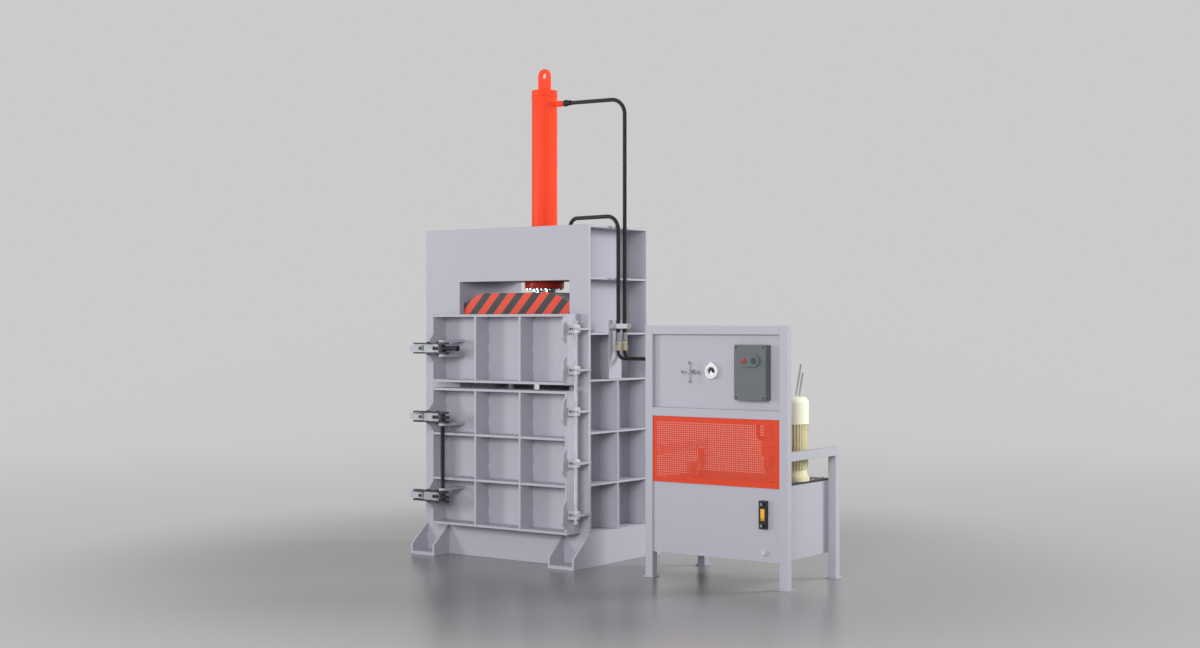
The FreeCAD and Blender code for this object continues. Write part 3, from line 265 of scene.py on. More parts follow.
def weld_runs(starts, ends, first, second, leg):
    """Fillet welds: round the corner line, r(f, s) = leg (1 - 0.2 sin 2f) (1 + 0.09 |sin(pi s / p)|), ends tapered."""
    steps, ripple_pitch = 15, 0.0046
    run = np.linalg.norm(ends - starts, axis=1)
    s = np.linspace(0.0, 1.0, steps)
    along = starts[:, None] + (ends - starts)[:, None] * s[:, None]
    ripple = 1 + 0.09 * np.abs(np.sin(np.pi * (s[None] * run[:, None]) / ripple_pitch))
    taper = np.clip(np.minimum(s, 1 - s) * 12, 0, 1) ** 0.5
    f = np.linspace(0.0, np.pi / 2, 4)
    r = leg * (1 - 0.2 * np.sin(2 * f))[None, None] * (ripple * taper)[..., None]
    ring = np.cos(f)[:, None] * first + np.sin(f)[:, None] * second
    skin = along[:, :, None] + r[..., None] * ring
    loop = np.concatenate([skin, along[:, :, None]], axis=2)
    count, _, cols = loop.shape[:3]
    _, quads = sheet_grid(loop[0], wrap=True)
    faces = quads[None] + (np.arange(count) * steps * cols)[:, None, None]
    return loop.reshape(-1, 3), faces.reshape(-1, 4)


def weld_lines(lines, detail):
    """Stitches of weld along several lines; a line is its two ends and the ways that the weld's two legs go."""
    return joined(*(weld_runs(*stitches(start, end, detail.weld_pitch, detail.weld_length), first, second, detail.weld)
                    for start, end, first, second in lines))


def door_seams(foot, head, rows):
    """Where a door's flat bars meet its panel and one another, for weld_lines."""
    posts, bar, bay, panel, outer = (-0.487, -0.129, 0.229, 0.587), 0.016, 0.358, -0.333, -0.45
    gap = (head - foot - 0.002 - (rows + 1) * bar) / rows
    levels = [foot + 0.001 + k * (gap + bar) for k in range(rows + 1)]
    lines = []
    for x in posts:
        for side, at in ((-X, x), (X, x + bar)):
            if -0.48 < at < 0.6:
                lines += [((at, panel, low + bar), (at, panel, low + bar + gap), side, -Y) for low in levels[:-1]]
    for z in levels:
        for side, at in ((-Z, z), (Z, z + bar)):
            if foot + 0.01 < at < head - 0.01:
                lines += [((x + bar, panel, at), (x + bay, panel, at), side, -Y) for x in posts[:3]]
                lines += [((x + bar, outer, at), (x + bar, panel - 0.01, at), side, X) for x in posts[:3]]
    return lines


def frame_seams():
    """Where the side ribs, the anchor feet and the latch keepers meet the frame's plates, for weld_lines."""
    rib, floor, window = 0.012, 0.211, 1.5
    lines = []
    for wall, out, tip in ((0.528, X, 0.66), (-0.383, -X, -0.66)):
        below = floor
        for top in RIB_TOPS:
            under = top - rib
            lines.append(((wall, -0.290, top), (wall, 0.300, top), out, Z))
            lines.append(((wall, -0.290, under), (wall, 0.300, under), out, -Z))
            lines += [((wall, y, top), (tip, y, top), way, Z) for y, way in ((-0.295, Y), (0.305, -Y))]
            if top < window:
                lines += [((wall, y, below), (wall, y, under), out, way) for y, way in ((-0.010, -Y), (0.002, Y))]
            below = top
    for side in (-1, 1):
        for face in (-1, 1):
            for x, way in ((side * 0.644, -side * X), (side * 0.474, side * X)):
                lines.append(((x, face * 0.325, 0.020), (x, face * 0.462, 0.020), way, Z))
                lines.append(((x, face * 0.320, 0.025), (x, face * 0.320, 0.180), way, face * Y))
    front = -0.320
    for z in (0.393, 0.897, 1.335):
        lines += [((x, front, z - 0.017), (x, front, z + 0.017), way, -Y) for way, x in ((-X, -0.612), (X, -0.497))]
        lines += [((-0.610, front, at), (-0.499, front, at), way, -Y) for way, at in ((-Z, z - 0.018), (Z, z + 0.018))]
    return lines


def pressed_grid(xs, zs, solid, y_front, y_back):
    """A flat plate with square holes: the cells of the (x, z) grid that are solid, on two faces, with walls between."""
    gx, gz = np.meshgrid(xs, zs, indexing="ij")
    front, back = (np.stack([gx, np.full_like(gx, y), gz], -1).reshape(-1, 3) for y in (y_front, y_back))
    i = np.arange(gx.size).reshape(gx.shape)
    far = gx.size
    a, b, c, d = i[:-1, :-1], i[1:, :-1], i[1:, 1:], i[:-1, 1:]
    face = np.stack([a, b, c, d], -1)[solid]
    rear = face[:, ::-1] + far
    pad = np.pad(solid, 1)
    walls = []
    for dx, dz, p, q in ((-1, 0, a, d), (1, 0, c, b), (0, -1, b, a), (0, 1, d, c)):
        beside = pad[1 + dx:pad.shape[0] - 1 + dx, 1 + dz:pad.shape[1] - 1 + dz]
        rim = solid & ~beside
        walls.append(np.stack([p[rim], q[rim], q[rim] + far, p[rim] + far], -1))
    return np.concatenate([front, back]), np.concatenate([face, rear] + walls)


def put(name, shape, look, body="baler", smooth_angle=35.0):
    """A new piece: its mesh merged and turned outwards, its finish set, riding on its body."""
    verts, quads = shape
    mesh = bpy.data.meshes.new(name)
    mesh.vertices.add(len(verts))
    mesh.vertices.foreach_set("co", np.ascontiguousarray(verts, np.float32).ravel())
    mesh.loops.add(quads.size)
    mesh.loops.foreach_set("vertex_index", np.ascontiguousarray(quads, np.int32).ravel())
    mesh.polygons.add(len(quads))
    mesh.polygons.foreach_set("loop_start", np.arange(0, quads.size, 4, dtype=np.int32))
    mesh.update(calc_edges=True)
    work = bmesh.new()
    work.from_mesh(mesh)
    bmesh.ops.remove_doubles(work, verts=work.verts[:], dist=1e-6)
    bmesh.ops.recalc_face_normals(work, faces=work.faces[:])
    limit = math.radians(smooth_angle)
    for edge in work.edges:
        edge.smooth = len(edge.link_faces) != 2 or edge.calc_face_angle(0.0) < limit
    for face in work.faces:
        face.smooth = True
    work.to_mesh(mesh)
    work.free()
    piece = bpy.data.objects.new(name, mesh)
    bpy.context.scene.collection.objects.link(piece)
    mesh.materials.append(finish(look))
    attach(piece, body)
    return piece


def soften(piece, width):
    """Merges a CAD node's loose triangles into flat faces and rounds its sharp edges."""
    weld = piece.modifiers.new("merge_corners", "WELD")
    weld.merge_threshold = 1e-5
    flat = piece.modifiers.new("flat_faces", "DECIMATE")
    flat.decimate_type = "DISSOLVE"
    flat.angle_limit = math.radians(1.0)
    edge = piece.modifiers.new("round_edges", "BEVEL")
    edge.width = width
    edge.segments = 2
    edge.limit_method = "ANGLE"
    edge.angle_limit = math.radians(40)
    edge.harden_normals = True


# ---------------------------------------------------------------- finishes

def feed(tree, socket, value):
    """Links an output to a socket, or sets the socket's own value."""
    if isinstance(value, bpy.types.NodeSocket):
        tree.links.new(value, socket)
    else:
        socket.default_value = (*tuple(value)[:3], 1.0) if socket.type == "RGBA" else value


def fill(tree, made, **values):
    """Feeds a node's inputs: an underscore in a name stands for a space, and _0 is the first input."""
    for label, value in values.items():
        socket = made.inputs[int(label[1:])] if label[1:].isdigit() else made.inputs[label.replace("_", " ")]
        feed(tree, socket, value)
    return made


def node(tree, kind, **values):
    """A new node with its inputs fed."""
    return fill(tree, tree.nodes.new(kind), **values)


def maths(tree, operation, *values, clamp=False):
    """The result of a Math node."""
    made = tree.nodes.new("ShaderNodeMath")
    made.operation, made.use_clamp = operation, clamp
    for socket, value in zip(made.inputs, values):
        feed(tree, socket, value)
    return made.outputs[0]


def plus(tree, a, b):
    """a + b."""
    return maths(tree, "ADD", a, b)


def times(tree, a, b):
    """a b."""
    return maths(tree, "MULTIPLY", a, b)


def swung(tree, base, value, share):
    """base + (value - 0.5) share: a value about one half that swings another up and down."""
    return plus(tree, base, times(tree, maths(tree, "SUBTRACT", value, 0.5), share))


def mixed(tree, share, a, b, blend="MIX"):
    """The colour result of a Mix node."""
    made = tree.nodes.new("ShaderNodeMix")
    made.data_type, made.blend_type = "RGBA", blend
    return fill(tree, made, _0=share, _6=a, _7=b).outputs[2]


def noise(tree, where, scale, detail=3.0, rough=0.5):
    """The value of a Noise texture."""
    return node(tree, "ShaderNodeTexNoise", Vector=where, Scale=scale, Detail=detail, Roughness=rough).outputs["Fac"]


def stretch(tree, value, low, high, to_low=0.0, to_high=1.0):
    """A smooth step from to_low, where the value is low, to to_high, where it is high."""
    made = tree.nodes.new("ShaderNodeMapRange")
    made.interpolation_type = "SMOOTHSTEP"
    return fill(tree, made, _0=value, _1=low, _2=high, _3=to_low, _4=to_high).outputs[0]


def mapped(tree, where, **values):
    """The position turned or scaled by a Mapping node."""
    return node(tree, "ShaderNodeMapping", Vector=where, **values).outputs[0]


def grey(tree, level):
    """A grey of that level."""
    return node(tree, "ShaderNodeCombineColor", Red=level, Green=level, Blue=level).outputs[0]


def parts(tree, vector):
    """The x, y and z of a vector."""
    return node(tree, "ShaderNodeSeparateXYZ", Vector=vector).outputs


def far_from(tree, where, first, second):
    """Distance from a line along an axis; first and second give an axis number and the line's place on it."""
    squares = []
    for axis, place in (first, second):
        offset = maths(tree, "SUBTRACT", where[axis], place)
        squares.append(times(tree, offset, offset))
    return maths(tree, "SQRT", plus(tree, *squares))


def group(name, inputs, outputs):
    """A new shader node group with its sockets; returns its tree, the values given to it, and its output node."""
    tree = bpy.data.node_groups.new(name, "ShaderNodeTree")
    for label, kind, value in inputs:
        socket = tree.interface.new_socket(name=label, in_out="INPUT", socket_type="NodeSocket" + kind)
        if value is not None:
            socket.default_value = value
    for label, kind in outputs:
        tree.interface.new_socket(name=label, in_out="OUTPUT", socket_type="NodeSocket" + kind)
    return tree, tree.nodes.new("NodeGroupInput").outputs, tree.nodes.new("NodeGroupOutput")


def sprayed_coat():
    """Sprayed paint: slow drift of tone, patchy mottling, dust on upward faces and orange peel."""
    tree, given, out = group(
        "sprayed_coat",
        [("Position", "Vector", None), ("Paint", "Color", (0.5, 0.5, 0.5, 1)), ("Drift", "Float", 0.06),
         ("Dust", "Float", 0.15), ("Gloss", "Float", 0.4)],
        [("Colour", "Color"), ("Roughness", "Float"), ("Height", "Float")])
    where, drift = given["Position"], given["Drift"]
    patch = noise(tree, where, 14.0, 4.0, 0.6)
    tone = swung(tree, 1.0, noise(tree, where, 1.7, 3.0), drift)
    tone = swung(tree, tone, patch, times(tree, drift, 0.4))
    base = mixed(tree, 1.0, given["Paint"], grey(tree, tone), "MULTIPLY")
    up = parts(tree, node(tree, "ShaderNodeNewGeometry").outputs["Normal"])[2]
    settled = times(tree, times(tree, stretch(tree, up, 0.5, 1.0), stretch(tree, patch, 0.25, 0.75)), given["Dust"])
    dusty = mixed(tree, settled, base, (0.52, 0.50, 0.47))
    rough = swung(tree, given["Gloss"], noise(tree, where, 5.0, 5.0, 0.65), 0.16)
    rough = plus(tree, rough, times(tree, settled, 0.5))
    fine, coarse = noise(tree, where, 420.0, 1.0), noise(tree, where, 130.0, 1.0)
    peel = plus(tree, times(tree, fine, 0.6), times(tree, coarse, 0.4))
    fill(tree, out, Colour=dusty, Roughness=rough, Height=peel)
    return tree


def rubbed_edges():
    """Where hands and tools rub: the edges, found by how far a rounded normal turns from the face's own, broken up."""
    tree, given, out = group(
        "rubbed_edges",
        [("Position", "Vector", None), ("Width", "Float", 0.003), ("Amount", "Float", 0.5), ("Breakup", "Float", 60.0)],
        [("Mask", "Float")])
    rounded = node(tree, "ShaderNodeBevel", Radius=given["Width"])
    rounded.samples = 4
    dot = tree.nodes.new("ShaderNodeVectorMath")
    dot.operation = "DOT_PRODUCT"
    fill(tree, dot, _0=rounded.outputs[0], _1=node(tree, "ShaderNodeNewGeometry").outputs["True Normal"])
    edge = stretch(tree, maths(tree, "SUBTRACT", 1.0, dot.outputs["Value"]), 0.02, 0.25)
    speck = noise(tree, given["Position"], given["Breakup"], 5.0)
    mask = times(tree, edge, stretch(tree, speck, 0.38, 0.62))
    fill(tree, out, Mask=maths(tree, "MULTIPLY", mask, given["Amount"], clamp=True))
    return tree


def tool_marks():
    """Marks of turning, grinding and handling on bare metal: fine lines one way, and soft smudges."""
    tree, given, out = group(
        "tool_marks",
        [("Position", "Vector", None), ("Metal", "Color", (0.5, 0.5, 0.5, 1)), ("Shine", "Float", 0.3),
         ("Lines", "Float", 900.0), ("Grime", "Float", 0.3)],
        [("Colour", "Color"), ("Roughness", "Float"), ("Height", "Float")])
    where, metal = given["Position"], given["Metal"]
    line = noise(tree, mapped(tree, where, Scale=(0.06, 0.06, 1.0)), given["Lines"], 2.0)
    dirt = times(tree, stretch(tree, noise(tree, where, 22.0, 5.0, 0.6), 0.35, 0.8), given["Grime"])
    tint = mixed(tree, dirt, metal, mixed(tree, 1.0, metal, (0.32, 0.28, 0.25), "MULTIPLY"))
    rough = plus(tree, swung(tree, given["Shine"], line, 0.2), times(tree, dirt, 0.4))
    fill(tree, out, Colour=tint, Roughness=rough, Height=line)
    return tree


GROUPS = {}


def use(tree, maker, **values):
    """A shared group placed in a finish with this finish's own values; the group is built when first asked for."""
    if maker not in GROUPS:
        GROUPS[maker] = maker()
    made = tree.nodes.new("ShaderNodeGroup")
    made.node_tree = GROUPS[maker]
    return fill(tree, made, **values).outputs


def blank_finish(name):
    """A new material: itself, its tree, its Principled shader and the object's own coordinates."""
    material = bpy.data.materials.new(name)
    material.use_nodes = True
    tree = material.node_tree
    return material, tree, tree.nodes["Principled BSDF"], tree.nodes.new("ShaderNodeTexCoord").outputs["Object"]


def bumped(tree, height, distance, strength):
    """The normal of a Bump node."""
    return node(tree, "ShaderNodeBump", Height=height, Distance=distance, Strength=strength).outputs[0]


def dimmed(tone, share):
    """A darker tone of a colour."""
    return tuple(share * c for c in tone)


def paint_finish(name, paint, gloss=0.4, drift=0.06, dust=0.12, coat=0.0, wear=0.0, specular=0.35):
    """Sprayed paint, with rubbed edges where wear is asked for."""
    material, tree, shader, where = blank_finish(name)
    film = use(tree, sprayed_coat, Position=where, Paint=paint, Drift=drift, Dust=dust, Gloss=gloss)
    tint = film["Colour"]
    if wear:
        mask = use(tree, rubbed_edges, Position=where, Width=0.0035, Amount=wear, Breakup=45.0)["Mask"]
        tint = mixed(tree, mask, tint, (0.16, 0.15, 0.15))
    fill(tree, shader, Base_Color=tint, Roughness=film["Roughness"], Specular_IOR_Level=specular, Coat_Weight=coat,
         Coat_Roughness=0.12, Normal=bumped(tree, film["Height"], 0.00012, 0.5))
    return material


def metal_finish(name, metal, shine=0.3, lines=900.0, grime=0.3, metallic=1.0, wear=0.0, bright=(0.5, 0.5, 0.52)):
    """Bare or oiled metal with tool marks, brighter at rubbed edges where wear is asked for."""
    material, tree, shader, where = blank_finish(name)
    marks = use(tree, tool_marks, Position=where, Metal=metal, Shine=shine, Lines=lines, Grime=grime)
    tint = marks["Colour"]
    if wear:
        mask = use(tree, rubbed_edges, Position=where, Width=0.0025, Amount=wear, Breakup=90.0)["Mask"]
        tint = mixed(tree, mask, tint, bright)
    fill(tree, shader, Base_Color=tint, Roughness=marks["Roughness"], Metallic=metallic,
         Normal=bumped(tree, marks["Height"], 0.00006, 0.5))
    return material


def plastic_finish(name, tone, gloss=0.4, grain=900.0, coat=0.0):
    """Moulded plastic with a fine grain and a slight cloudiness."""
    material, tree, shader, where = blank_finish(name)
    cloud = noise(tree, where, 60.0, 3.0)
    fill(tree, shader, Base_Color=mixed(tree, stretch(tree, cloud, 0.3, 0.7, 0.0, 0.25), tone, dimmed(tone, 0.7)),
         Roughness=stretch(tree, cloud, 0.2, 0.8, gloss - 0.05, gloss + 0.08), Coat_Weight=coat,
         Normal=bumped(tree, noise(tree, where, grain, 2.0), 0.00008, 0.4))
    return material


def hose_finish(name, rubber):
    """Hose cover: the faint diagonal print of the wrapping cloth, and dust."""
    material, tree, shader, where = blank_finish(name)
    cloth = node(tree, "ShaderNodeTexWave", Vector=mapped(tree, where, Rotation=(0.6, 0.5, 0.8)), Scale=180.0,
                 Distortion=0.6)
    smear = noise(tree, where, 18.0, 5.0, 0.6)
    dusty = mixed(tree, stretch(tree, smear, 0.35, 0.8, 0.0, 0.35), rubber, (0.06, 0.058, 0.055))
    fill(tree, shader, Base_Color=dusty, Roughness=stretch(tree, smear, 0.2, 0.8, 0.38, 0.6),
         Normal=bumped(tree, cloth.outputs["Fac"], 0.0002, 0.35))
    return material


def press_finish(name, plate):
    """The press: slanting red and dark stripes on its front and back faces, plain plate paint elsewhere, scuffed."""
    paint, detail = bpy.context.scene.baler_paint, bpy.context.scene.baler_detail
    pitch = detail.stripe_pitch
    material, tree, shader, where = blank_finish(name)
    x, _, z = parts(tree, where)
    slant = maths(tree, "SUBTRACT", x, times(tree, z, math.tan(detail.stripe_lean)))
    place = maths(tree, "FRACT", maths(tree, "DIVIDE", plus(tree, slant, 10 * pitch - detail.stripe_start), pitch))
    edge = maths(tree, "ABSOLUTE", maths(tree, "SUBTRACT", place, 0.5))
    stripe = mixed(tree, stretch(tree, edge, 0.245, 0.255), paint.stripe_red, paint.stripe_dark)
    depth = maths(tree, "ABSOLUTE", parts(tree, node(tree, "ShaderNodeNewGeometry").outputs["Normal"])[1])
    printed = mixed(tree, stretch(tree, depth, 0.7, 0.9), plate, stripe)
    film = use(tree, sprayed_coat, Position=where, Paint=printed, Drift=0.08, Dust=0.2, Gloss=0.55)
    scuff = noise(tree, mapped(tree, where, Scale=(1.0, 1.0, 0.18)), 40.0, 6.0, 0.7)
    scuffed = times(tree, stretch(tree, scuff, 0.56, 0.78, 0.0, 0.4), 0.35)
    rubbed = use(tree, rubbed_edges, Position=where, Width=0.005, Amount=0.7, Breakup=35.0)["Mask"]
    tint = mixed(tree, maths(tree, "MAXIMUM", rubbed, scuffed), film["Colour"], (0.20, 0.19, 0.19))
    fill(tree, shader, Base_Color=tint, Roughness=film["Roughness"], Normal=bumped(tree, film["Height"], 0.00012, 0.5))
    return material


def window_finish(name, amber):
    """The level gauge's amber window, clearer above the oil, with a painted glow that stands in for the light falling
    in it.
    """
    material, tree, shader, where = blank_finish(name)
    above = stretch(tree, parts(tree, where)[2], 0.399, 0.402)
    # Painted light: the emission makes the window glow faintly, more above the oil than below.
    fill(tree, shader, Base_Color=mixed(tree, above, dimmed(amber, 0.75), amber), Roughness=0.12, Coat_Weight=0.6,
         Emission_Color=mixed(tree, above, dimmed(amber, 0.02), dimmed(amber, 0.06)), Emission_Strength=1.0)
    return material


def dial_finish(name, white):
    """The dial: a white face whose lower sector is black inside its rim."""
    material, tree, shader, where = blank_finish(name)
    place = parts(tree, where)
    dx, dz = maths(tree, "SUBTRACT", place[0], GAUGE_X), maths(tree, "SUBTRACT", place[2], GAUGE_Z)
    away = far_from(tree, place, (0, GAUGE_X), (2, GAUGE_Z))
    sector = stretch(tree, plus(tree, dz, times(tree, maths(tree, "ABSOLUTE", dx), 0.55)), -0.0028, -0.0022)
    black = times(tree, sector, stretch(tree, away, 0.0235, 0.0238, 1.0, 0.0))
    fill(tree, shader, Base_Color=mixed(tree, black, white, (0.015, 0.015, 0.016)),
         Roughness=stretch(tree, noise(tree, where, 800.0, 2.0), 0.0, 1.0, 0.28, 0.38))
    return material


def floor_finish(name, stage, centre):
    """A pale floor that fades, with distance from the machine, into the backdrop's glow; the glow is dimmed near the
    machine as painted shade and is even far away.
    """
    material, tree, shader, where = blank_finish(name)
    away = far_from(tree, parts(tree, where), (0, centre[0]), (1, centre[1]))
    cloud = noise(tree, where, 1.2, 2.0)
    fill(tree, shader, Base_Color=mixed(tree, cloud, dimmed(stage.floor, 0.97), dimmed(stage.floor, 1.03)),
         Roughness=stretch(tree, cloud, 0.3, 0.7, 0.235, 0.245))
    # Painted shade: the glow is 0.82 of the backdrop tone by the machine and rises to full 13.5 m away.
    level = maths(tree, "MULTIPLY_ADD", stretch(tree, away, 1.0, 13.5), 0.18, 0.82)
    shaded_backdrop_glow = node(tree, "ShaderNodeEmission", Color=mixed(tree, 1.0, grey(tree, level), stage.backdrop, "MULTIPLY"))
    blend = node(tree, "ShaderNodeMixShader", _0=stretch(tree, away, 1.9, 4.2), _1=shader.outputs[0],
                 _2=shaded_backdrop_glow.outputs[0])
    tree.links.new(blend.outputs[0], tree.nodes["Material Output"].inputs["Surface"])
    return material


# Each finish: its maker, its colour or the paint setting that holds it, and its other settings.
LOOKS = {
    "plate_paint": (paint_finish, "plate", dict(gloss=0.50, drift=0.05, dust=0.10, specular=0.25)),
    "pack_paint": (paint_finish, "pack", dict(gloss=0.44, drift=0.05, dust=0.08)),
    "cylinder_paint": (paint_finish, "cylinder", dict(gloss=0.46, drift=0.05, dust=0.03, specular=0.22)),
    # The gland's finish is painted shade: the cylinder red darkened, with rubbed edges on top.
    "gland_paint": (paint_finish, "gland", dict(gloss=0.32, drift=0.1, dust=0.1, wear=0.5)),
    "guard_paint": (paint_finish, "guard", dict(gloss=0.45, drift=0.05, dust=0.03, specular=0.2)),
    "motor_paint": (paint_finish, "motor", dict(gloss=0.30, drift=0.07, dust=0.2, coat=0.2)),
    "cowl_paint": (paint_finish, "cowl", dict(gloss=0.28, drift=0.04, dust=0.1, coat=0.2)),
    "starter_paint": (paint_finish, "starter", dict(gloss=0.45, drift=0.08, dust=0.1)),
    "pipe_paint": (paint_finish, "pipe", dict(gloss=0.35, drift=0.15, dust=0.15)),
    "lid_paint": (paint_finish, (0.045, 0.045, 0.045), dict(gloss=0.45, drift=0.15, dust=0.2)),
    "forged_steel": (metal_finish, "forged", dict(shine=0.42, grime=0.4, metallic=0.7, wear=0.8,
                                                  bright=(0.32, 0.32, 0.34))),
    "hinge_steel": (metal_finish, "hinge", dict(shine=0.38, grime=0.2, metallic=0.15, wear=0.3,
                                                bright=(0.7, 0.7, 0.72))),
    "clamp_steel": (metal_finish, "clamp", dict(shine=0.42, metallic=0.2, wear=0.4)),
    "machined_steel": (metal_finish, "machined", dict(shine=0.24, grime=0.2)),
    "chromed_rod": (metal_finish, (0.72, 0.72, 0.74), dict(shine=0.12, lines=2500.0, grime=0.12)),
    "turned_brass": (metal_finish, "brass", dict(shine=0.26)),
    "hose_rubber": (hose_finish, "rubber", {}),
    "press_paint": (press_finish, "plate", {}),
    "red_plastic": (plastic_finish, "stop", {}),
    "green_plastic": (plastic_finish, "start", {}),
    "black_plastic": (plastic_finish, (0.02, 0.02, 0.021), dict(gloss=0.42)),
    "black_rubber": (plastic_finish, (0.022, 0.022, 0.022), dict(gloss=0.6, grain=500.0)),
    "white_enamel": (plastic_finish, (0.83, 0.83, 0.83), dict(gloss=0.25, coat=0.3)),
    "gauge_window": (window_finish, "oil", {}),
    "gauge_dial": (dial_finish, (0.82, 0.82, 0.82), {}),
}
FINISHES = {}


def finish(name):
    """The finish of that name, made from the paint settings on first use."""
    if name not in FINISHES:
        maker, tone, settings = LOOKS[name]
        tone = getattr(bpy.context.scene.baler_paint, tone) if isinstance(tone, str) else tone
        FINISHES[name] = maker(name, tone, **settings)
    return FINISHES[name]


def dress(names, look, edge=0.0):
    """Gives CAD nodes a finish, and rounds their edges where an edge width is asked for."""
    for name in names:
        piece = NODES[name]
        if not piece.material_slots:
            piece.data.materials.append(None)
        for slot in piece.material_slots:
            slot.material = finish(look)
        if edge:
            soften(piece, edge)


def corners(name):
    """A CAD node's lowest and highest corners as arrays."""
    low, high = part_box(name)
    return np.array(low), np.array(high)


# ---------------------------------------------------------------- pieces

class BALER_OT_plates(bpy.types.Operator):
    """Paint the baler's plates and doors and round their cut edges"""
    bl_idname = "baler.plates"
    bl_label = "Plates and doors"

    def execute(self, context):
        detail = context.scene.baler_detail
        dress(BALER_PLATES, "plate_paint", detail.plate_edge)
        dress(["strap_guides"], "hinge_steel", detail.fitting_edge)
        return {"FINISHED"}


class BALER_OT_press(bpy.types.Operator):
    """Finish the press, its rod and piston"""
    bl_idname = "baler.press"
    bl_label = "Press and rod"

    def execute(self, context):
        detail = context.scene.baler_detail
        dress(["platen"], "press_paint", detail.plate_edge)
        dress(["ram_rod"], "chromed_rod")
        dress(["ram_piston", "rod_flange", "gland_screws"], "machined_steel", detail.fitting_edge)
        return {"FINISHED"}


class BALER_OT_cylinder(bpy.types.Operator):
    """Paint the cylinder, its cap and fittings, and lay the cap's weld.
    The weld's section is p(f) = (R + bead sin f, top - 1.4 bead cos f)"""
    bl_idname = "baler.cylinder"
    bl_label = "Cylinder"

    def execute(self, context):
        edge = context.scene.baler_detail.fitting_edge
        dress(CYLINDER_PIECES, "cylinder_paint", edge)
        # The gland gets the darkened red: painted shade in place of its shadow.
        dress(["cylinder_gland"], "gland_paint", edge)
        low, high = corners("cylinder_barrel")
        middle = (low + high) / 2
        bead, sunk = 0.0035, 0.0006
        turn = np.linspace(0, 2 * np.pi, 120, endpoint=False)[:, None]
        f = np.linspace(0, np.pi, 7)
        r = (high[0] - low[0]) / 2 - sunk + bead * np.sin(f)
        h = high[2] - bead * np.cos(f) * 1.4
        ring = np.stack(np.broadcast_arrays(middle[0] + r * np.cos(turn), middle[1] + r * np.sin(turn), h), -1)
        ring = np.concatenate([ring, ring[:, :1]], axis=1)
        put("cap_weld", sheet_grid(np.concatenate([ring, ring[:1]])), "cylinder_paint", smooth_angle=60)
        return {"FINISHED"}


class BALER_OT_hydraulics(bpy.types.Operator):
    """Finish the hoses, pipes and unions, and fit the hose ends"""
    bl_idname = "baler.hydraulics"
    bl_label = "Hoses and pipes"

    def execute(self, context):
        dress(["hose_top", "hose_bottom"], "hose_rubber")
        dress(["supply_pipes"], "pipe_paint")
        dress(["pipe_unions"], "turned_brass", context.scene.baler_detail.fitting_edge)
        # A ferrule's profile: three swelled bands with pressed grooves between them.
        r, groove, band = HOSE_RADIUS, HOSE_RADIUS + 0.0032, HOSE_RADIUS + 0.0045
        crimp = [(r, 0), (r + 0.0035, 0.0005), (band, 0.002), (band, 0.012), (groove, 0.0135), (groove, 0.0185),
                 (band, 0.02), (band, 0.03), (groove, 0.0315), (groove, 0.0365), (band, 0.038), (band, 0.05),
                 (r + 0.003, 0.052), (r - 0.0003, 0.053)]
        union_top = corners("pipe_unions")[1][2] + 0.0005
        ends = [(0.700, y, union_top) for y in (0.010, -0.058)]
        put("union_ferrules", scattered(turned(crimp, 36), ends), "machined_steel")
        # The top port carries a painted neck, a dark nut and a short ferrule; the bottom one a nut.
        port = corners("port_fittings")[1][0] - 0.0258
        neck = turned([(0, 0), (0.0185, 0), (0.0195, 0.001), (0.0195, 0.025), (0.0165, 0.027), (0.0165, 0.047),
                       (0.0155, 0.049), (0, 0.049)], 36)
        put("port_neck", scattered(neck, [(port, 0.0, PORT_Z[0])], X), "cylinder_paint", smooth_angle=40)
        nut = turned([(0, 0), (0.0205, 0), (0.0215, 0.001), (0.0215, 0.025), (0.0205, 0.026), (0, 0.026)], 6)
        put("port_nuts", scattered(nut, [(port + 0.049, 0.0, PORT_Z[0]), (port, 0.0, PORT_Z[1])], X), "pipe_paint")
        clamp_face = corners("hose_clamp")[1][0]
        put("clamp_bolt", scattered(hex_head(0.017, 0.009, 0.002), [(clamp_face, 0.033, 1.477)], X, 0.3),
            "turned_brass")
        short = turned([(a, b * 0.55) for a, b in crimp], 36)
        put("port_ferrule", scattered(short, [(port + 0.075, 0.0, PORT_Z[0])], X), "pipe_paint")
        return {"FINISHED"}


class BALER_OT_latches(bpy.types.Operator):
    """Finish the latches and hinges and fit their bolts and screws"""
    bl_idname = "baler.latches"
    bl_label = "Latches and hinges"

    def execute(self, context):
        edge = context.scene.baler_detail.fitting_edge
        dress(FORGED_PIECES, "forged_steel", edge)
        dress(HINGE_PIECES, "hinge_steel", edge)
        dress(CLAMP_PIECES, "clamp_steel", edge)
        screw = socket_head(0.0085, 0.009, 0.004)
        for door, heights in HINGE_Z.items():
            low, _ = corners(door.replace("door", "hinge_blocks"))
            seats = [(HINGE_SCREW_X, low[1] + 0.0178, z) for z in heights]
            put(door + "_hinge_screws", scattered(screw, seats, -Y), "forged_steel", door)
        bolt, nut, pin = hex_head(0.017, 0.005, 0.0015), hex_head(0.017, 0.006, 0.0015), hex_head(0.013, 0.006, 0.0015)
        for latch, heights in LATCH_Z.items():
            tops, unders = ([(x, LATCH_Y, z + side) for z in heights for x in (-0.462, -0.385)]
                            for side in (0.035, -0.035))
            heads = joined(scattered(bolt, tops, Z, 0.4), scattered(nut, unders, -Z, 0.2))
            put(latch + "_bolts", heads, "forged_steel", latch)
            pins = [(x, LATCH_Y - 0.0185, z) for z in heights for x in (-0.398, -0.372)]
            put(latch + "_slot_screws", scattered(pin, pins, -Y), "forged_steel", latch)
        return {"FINISHED"}


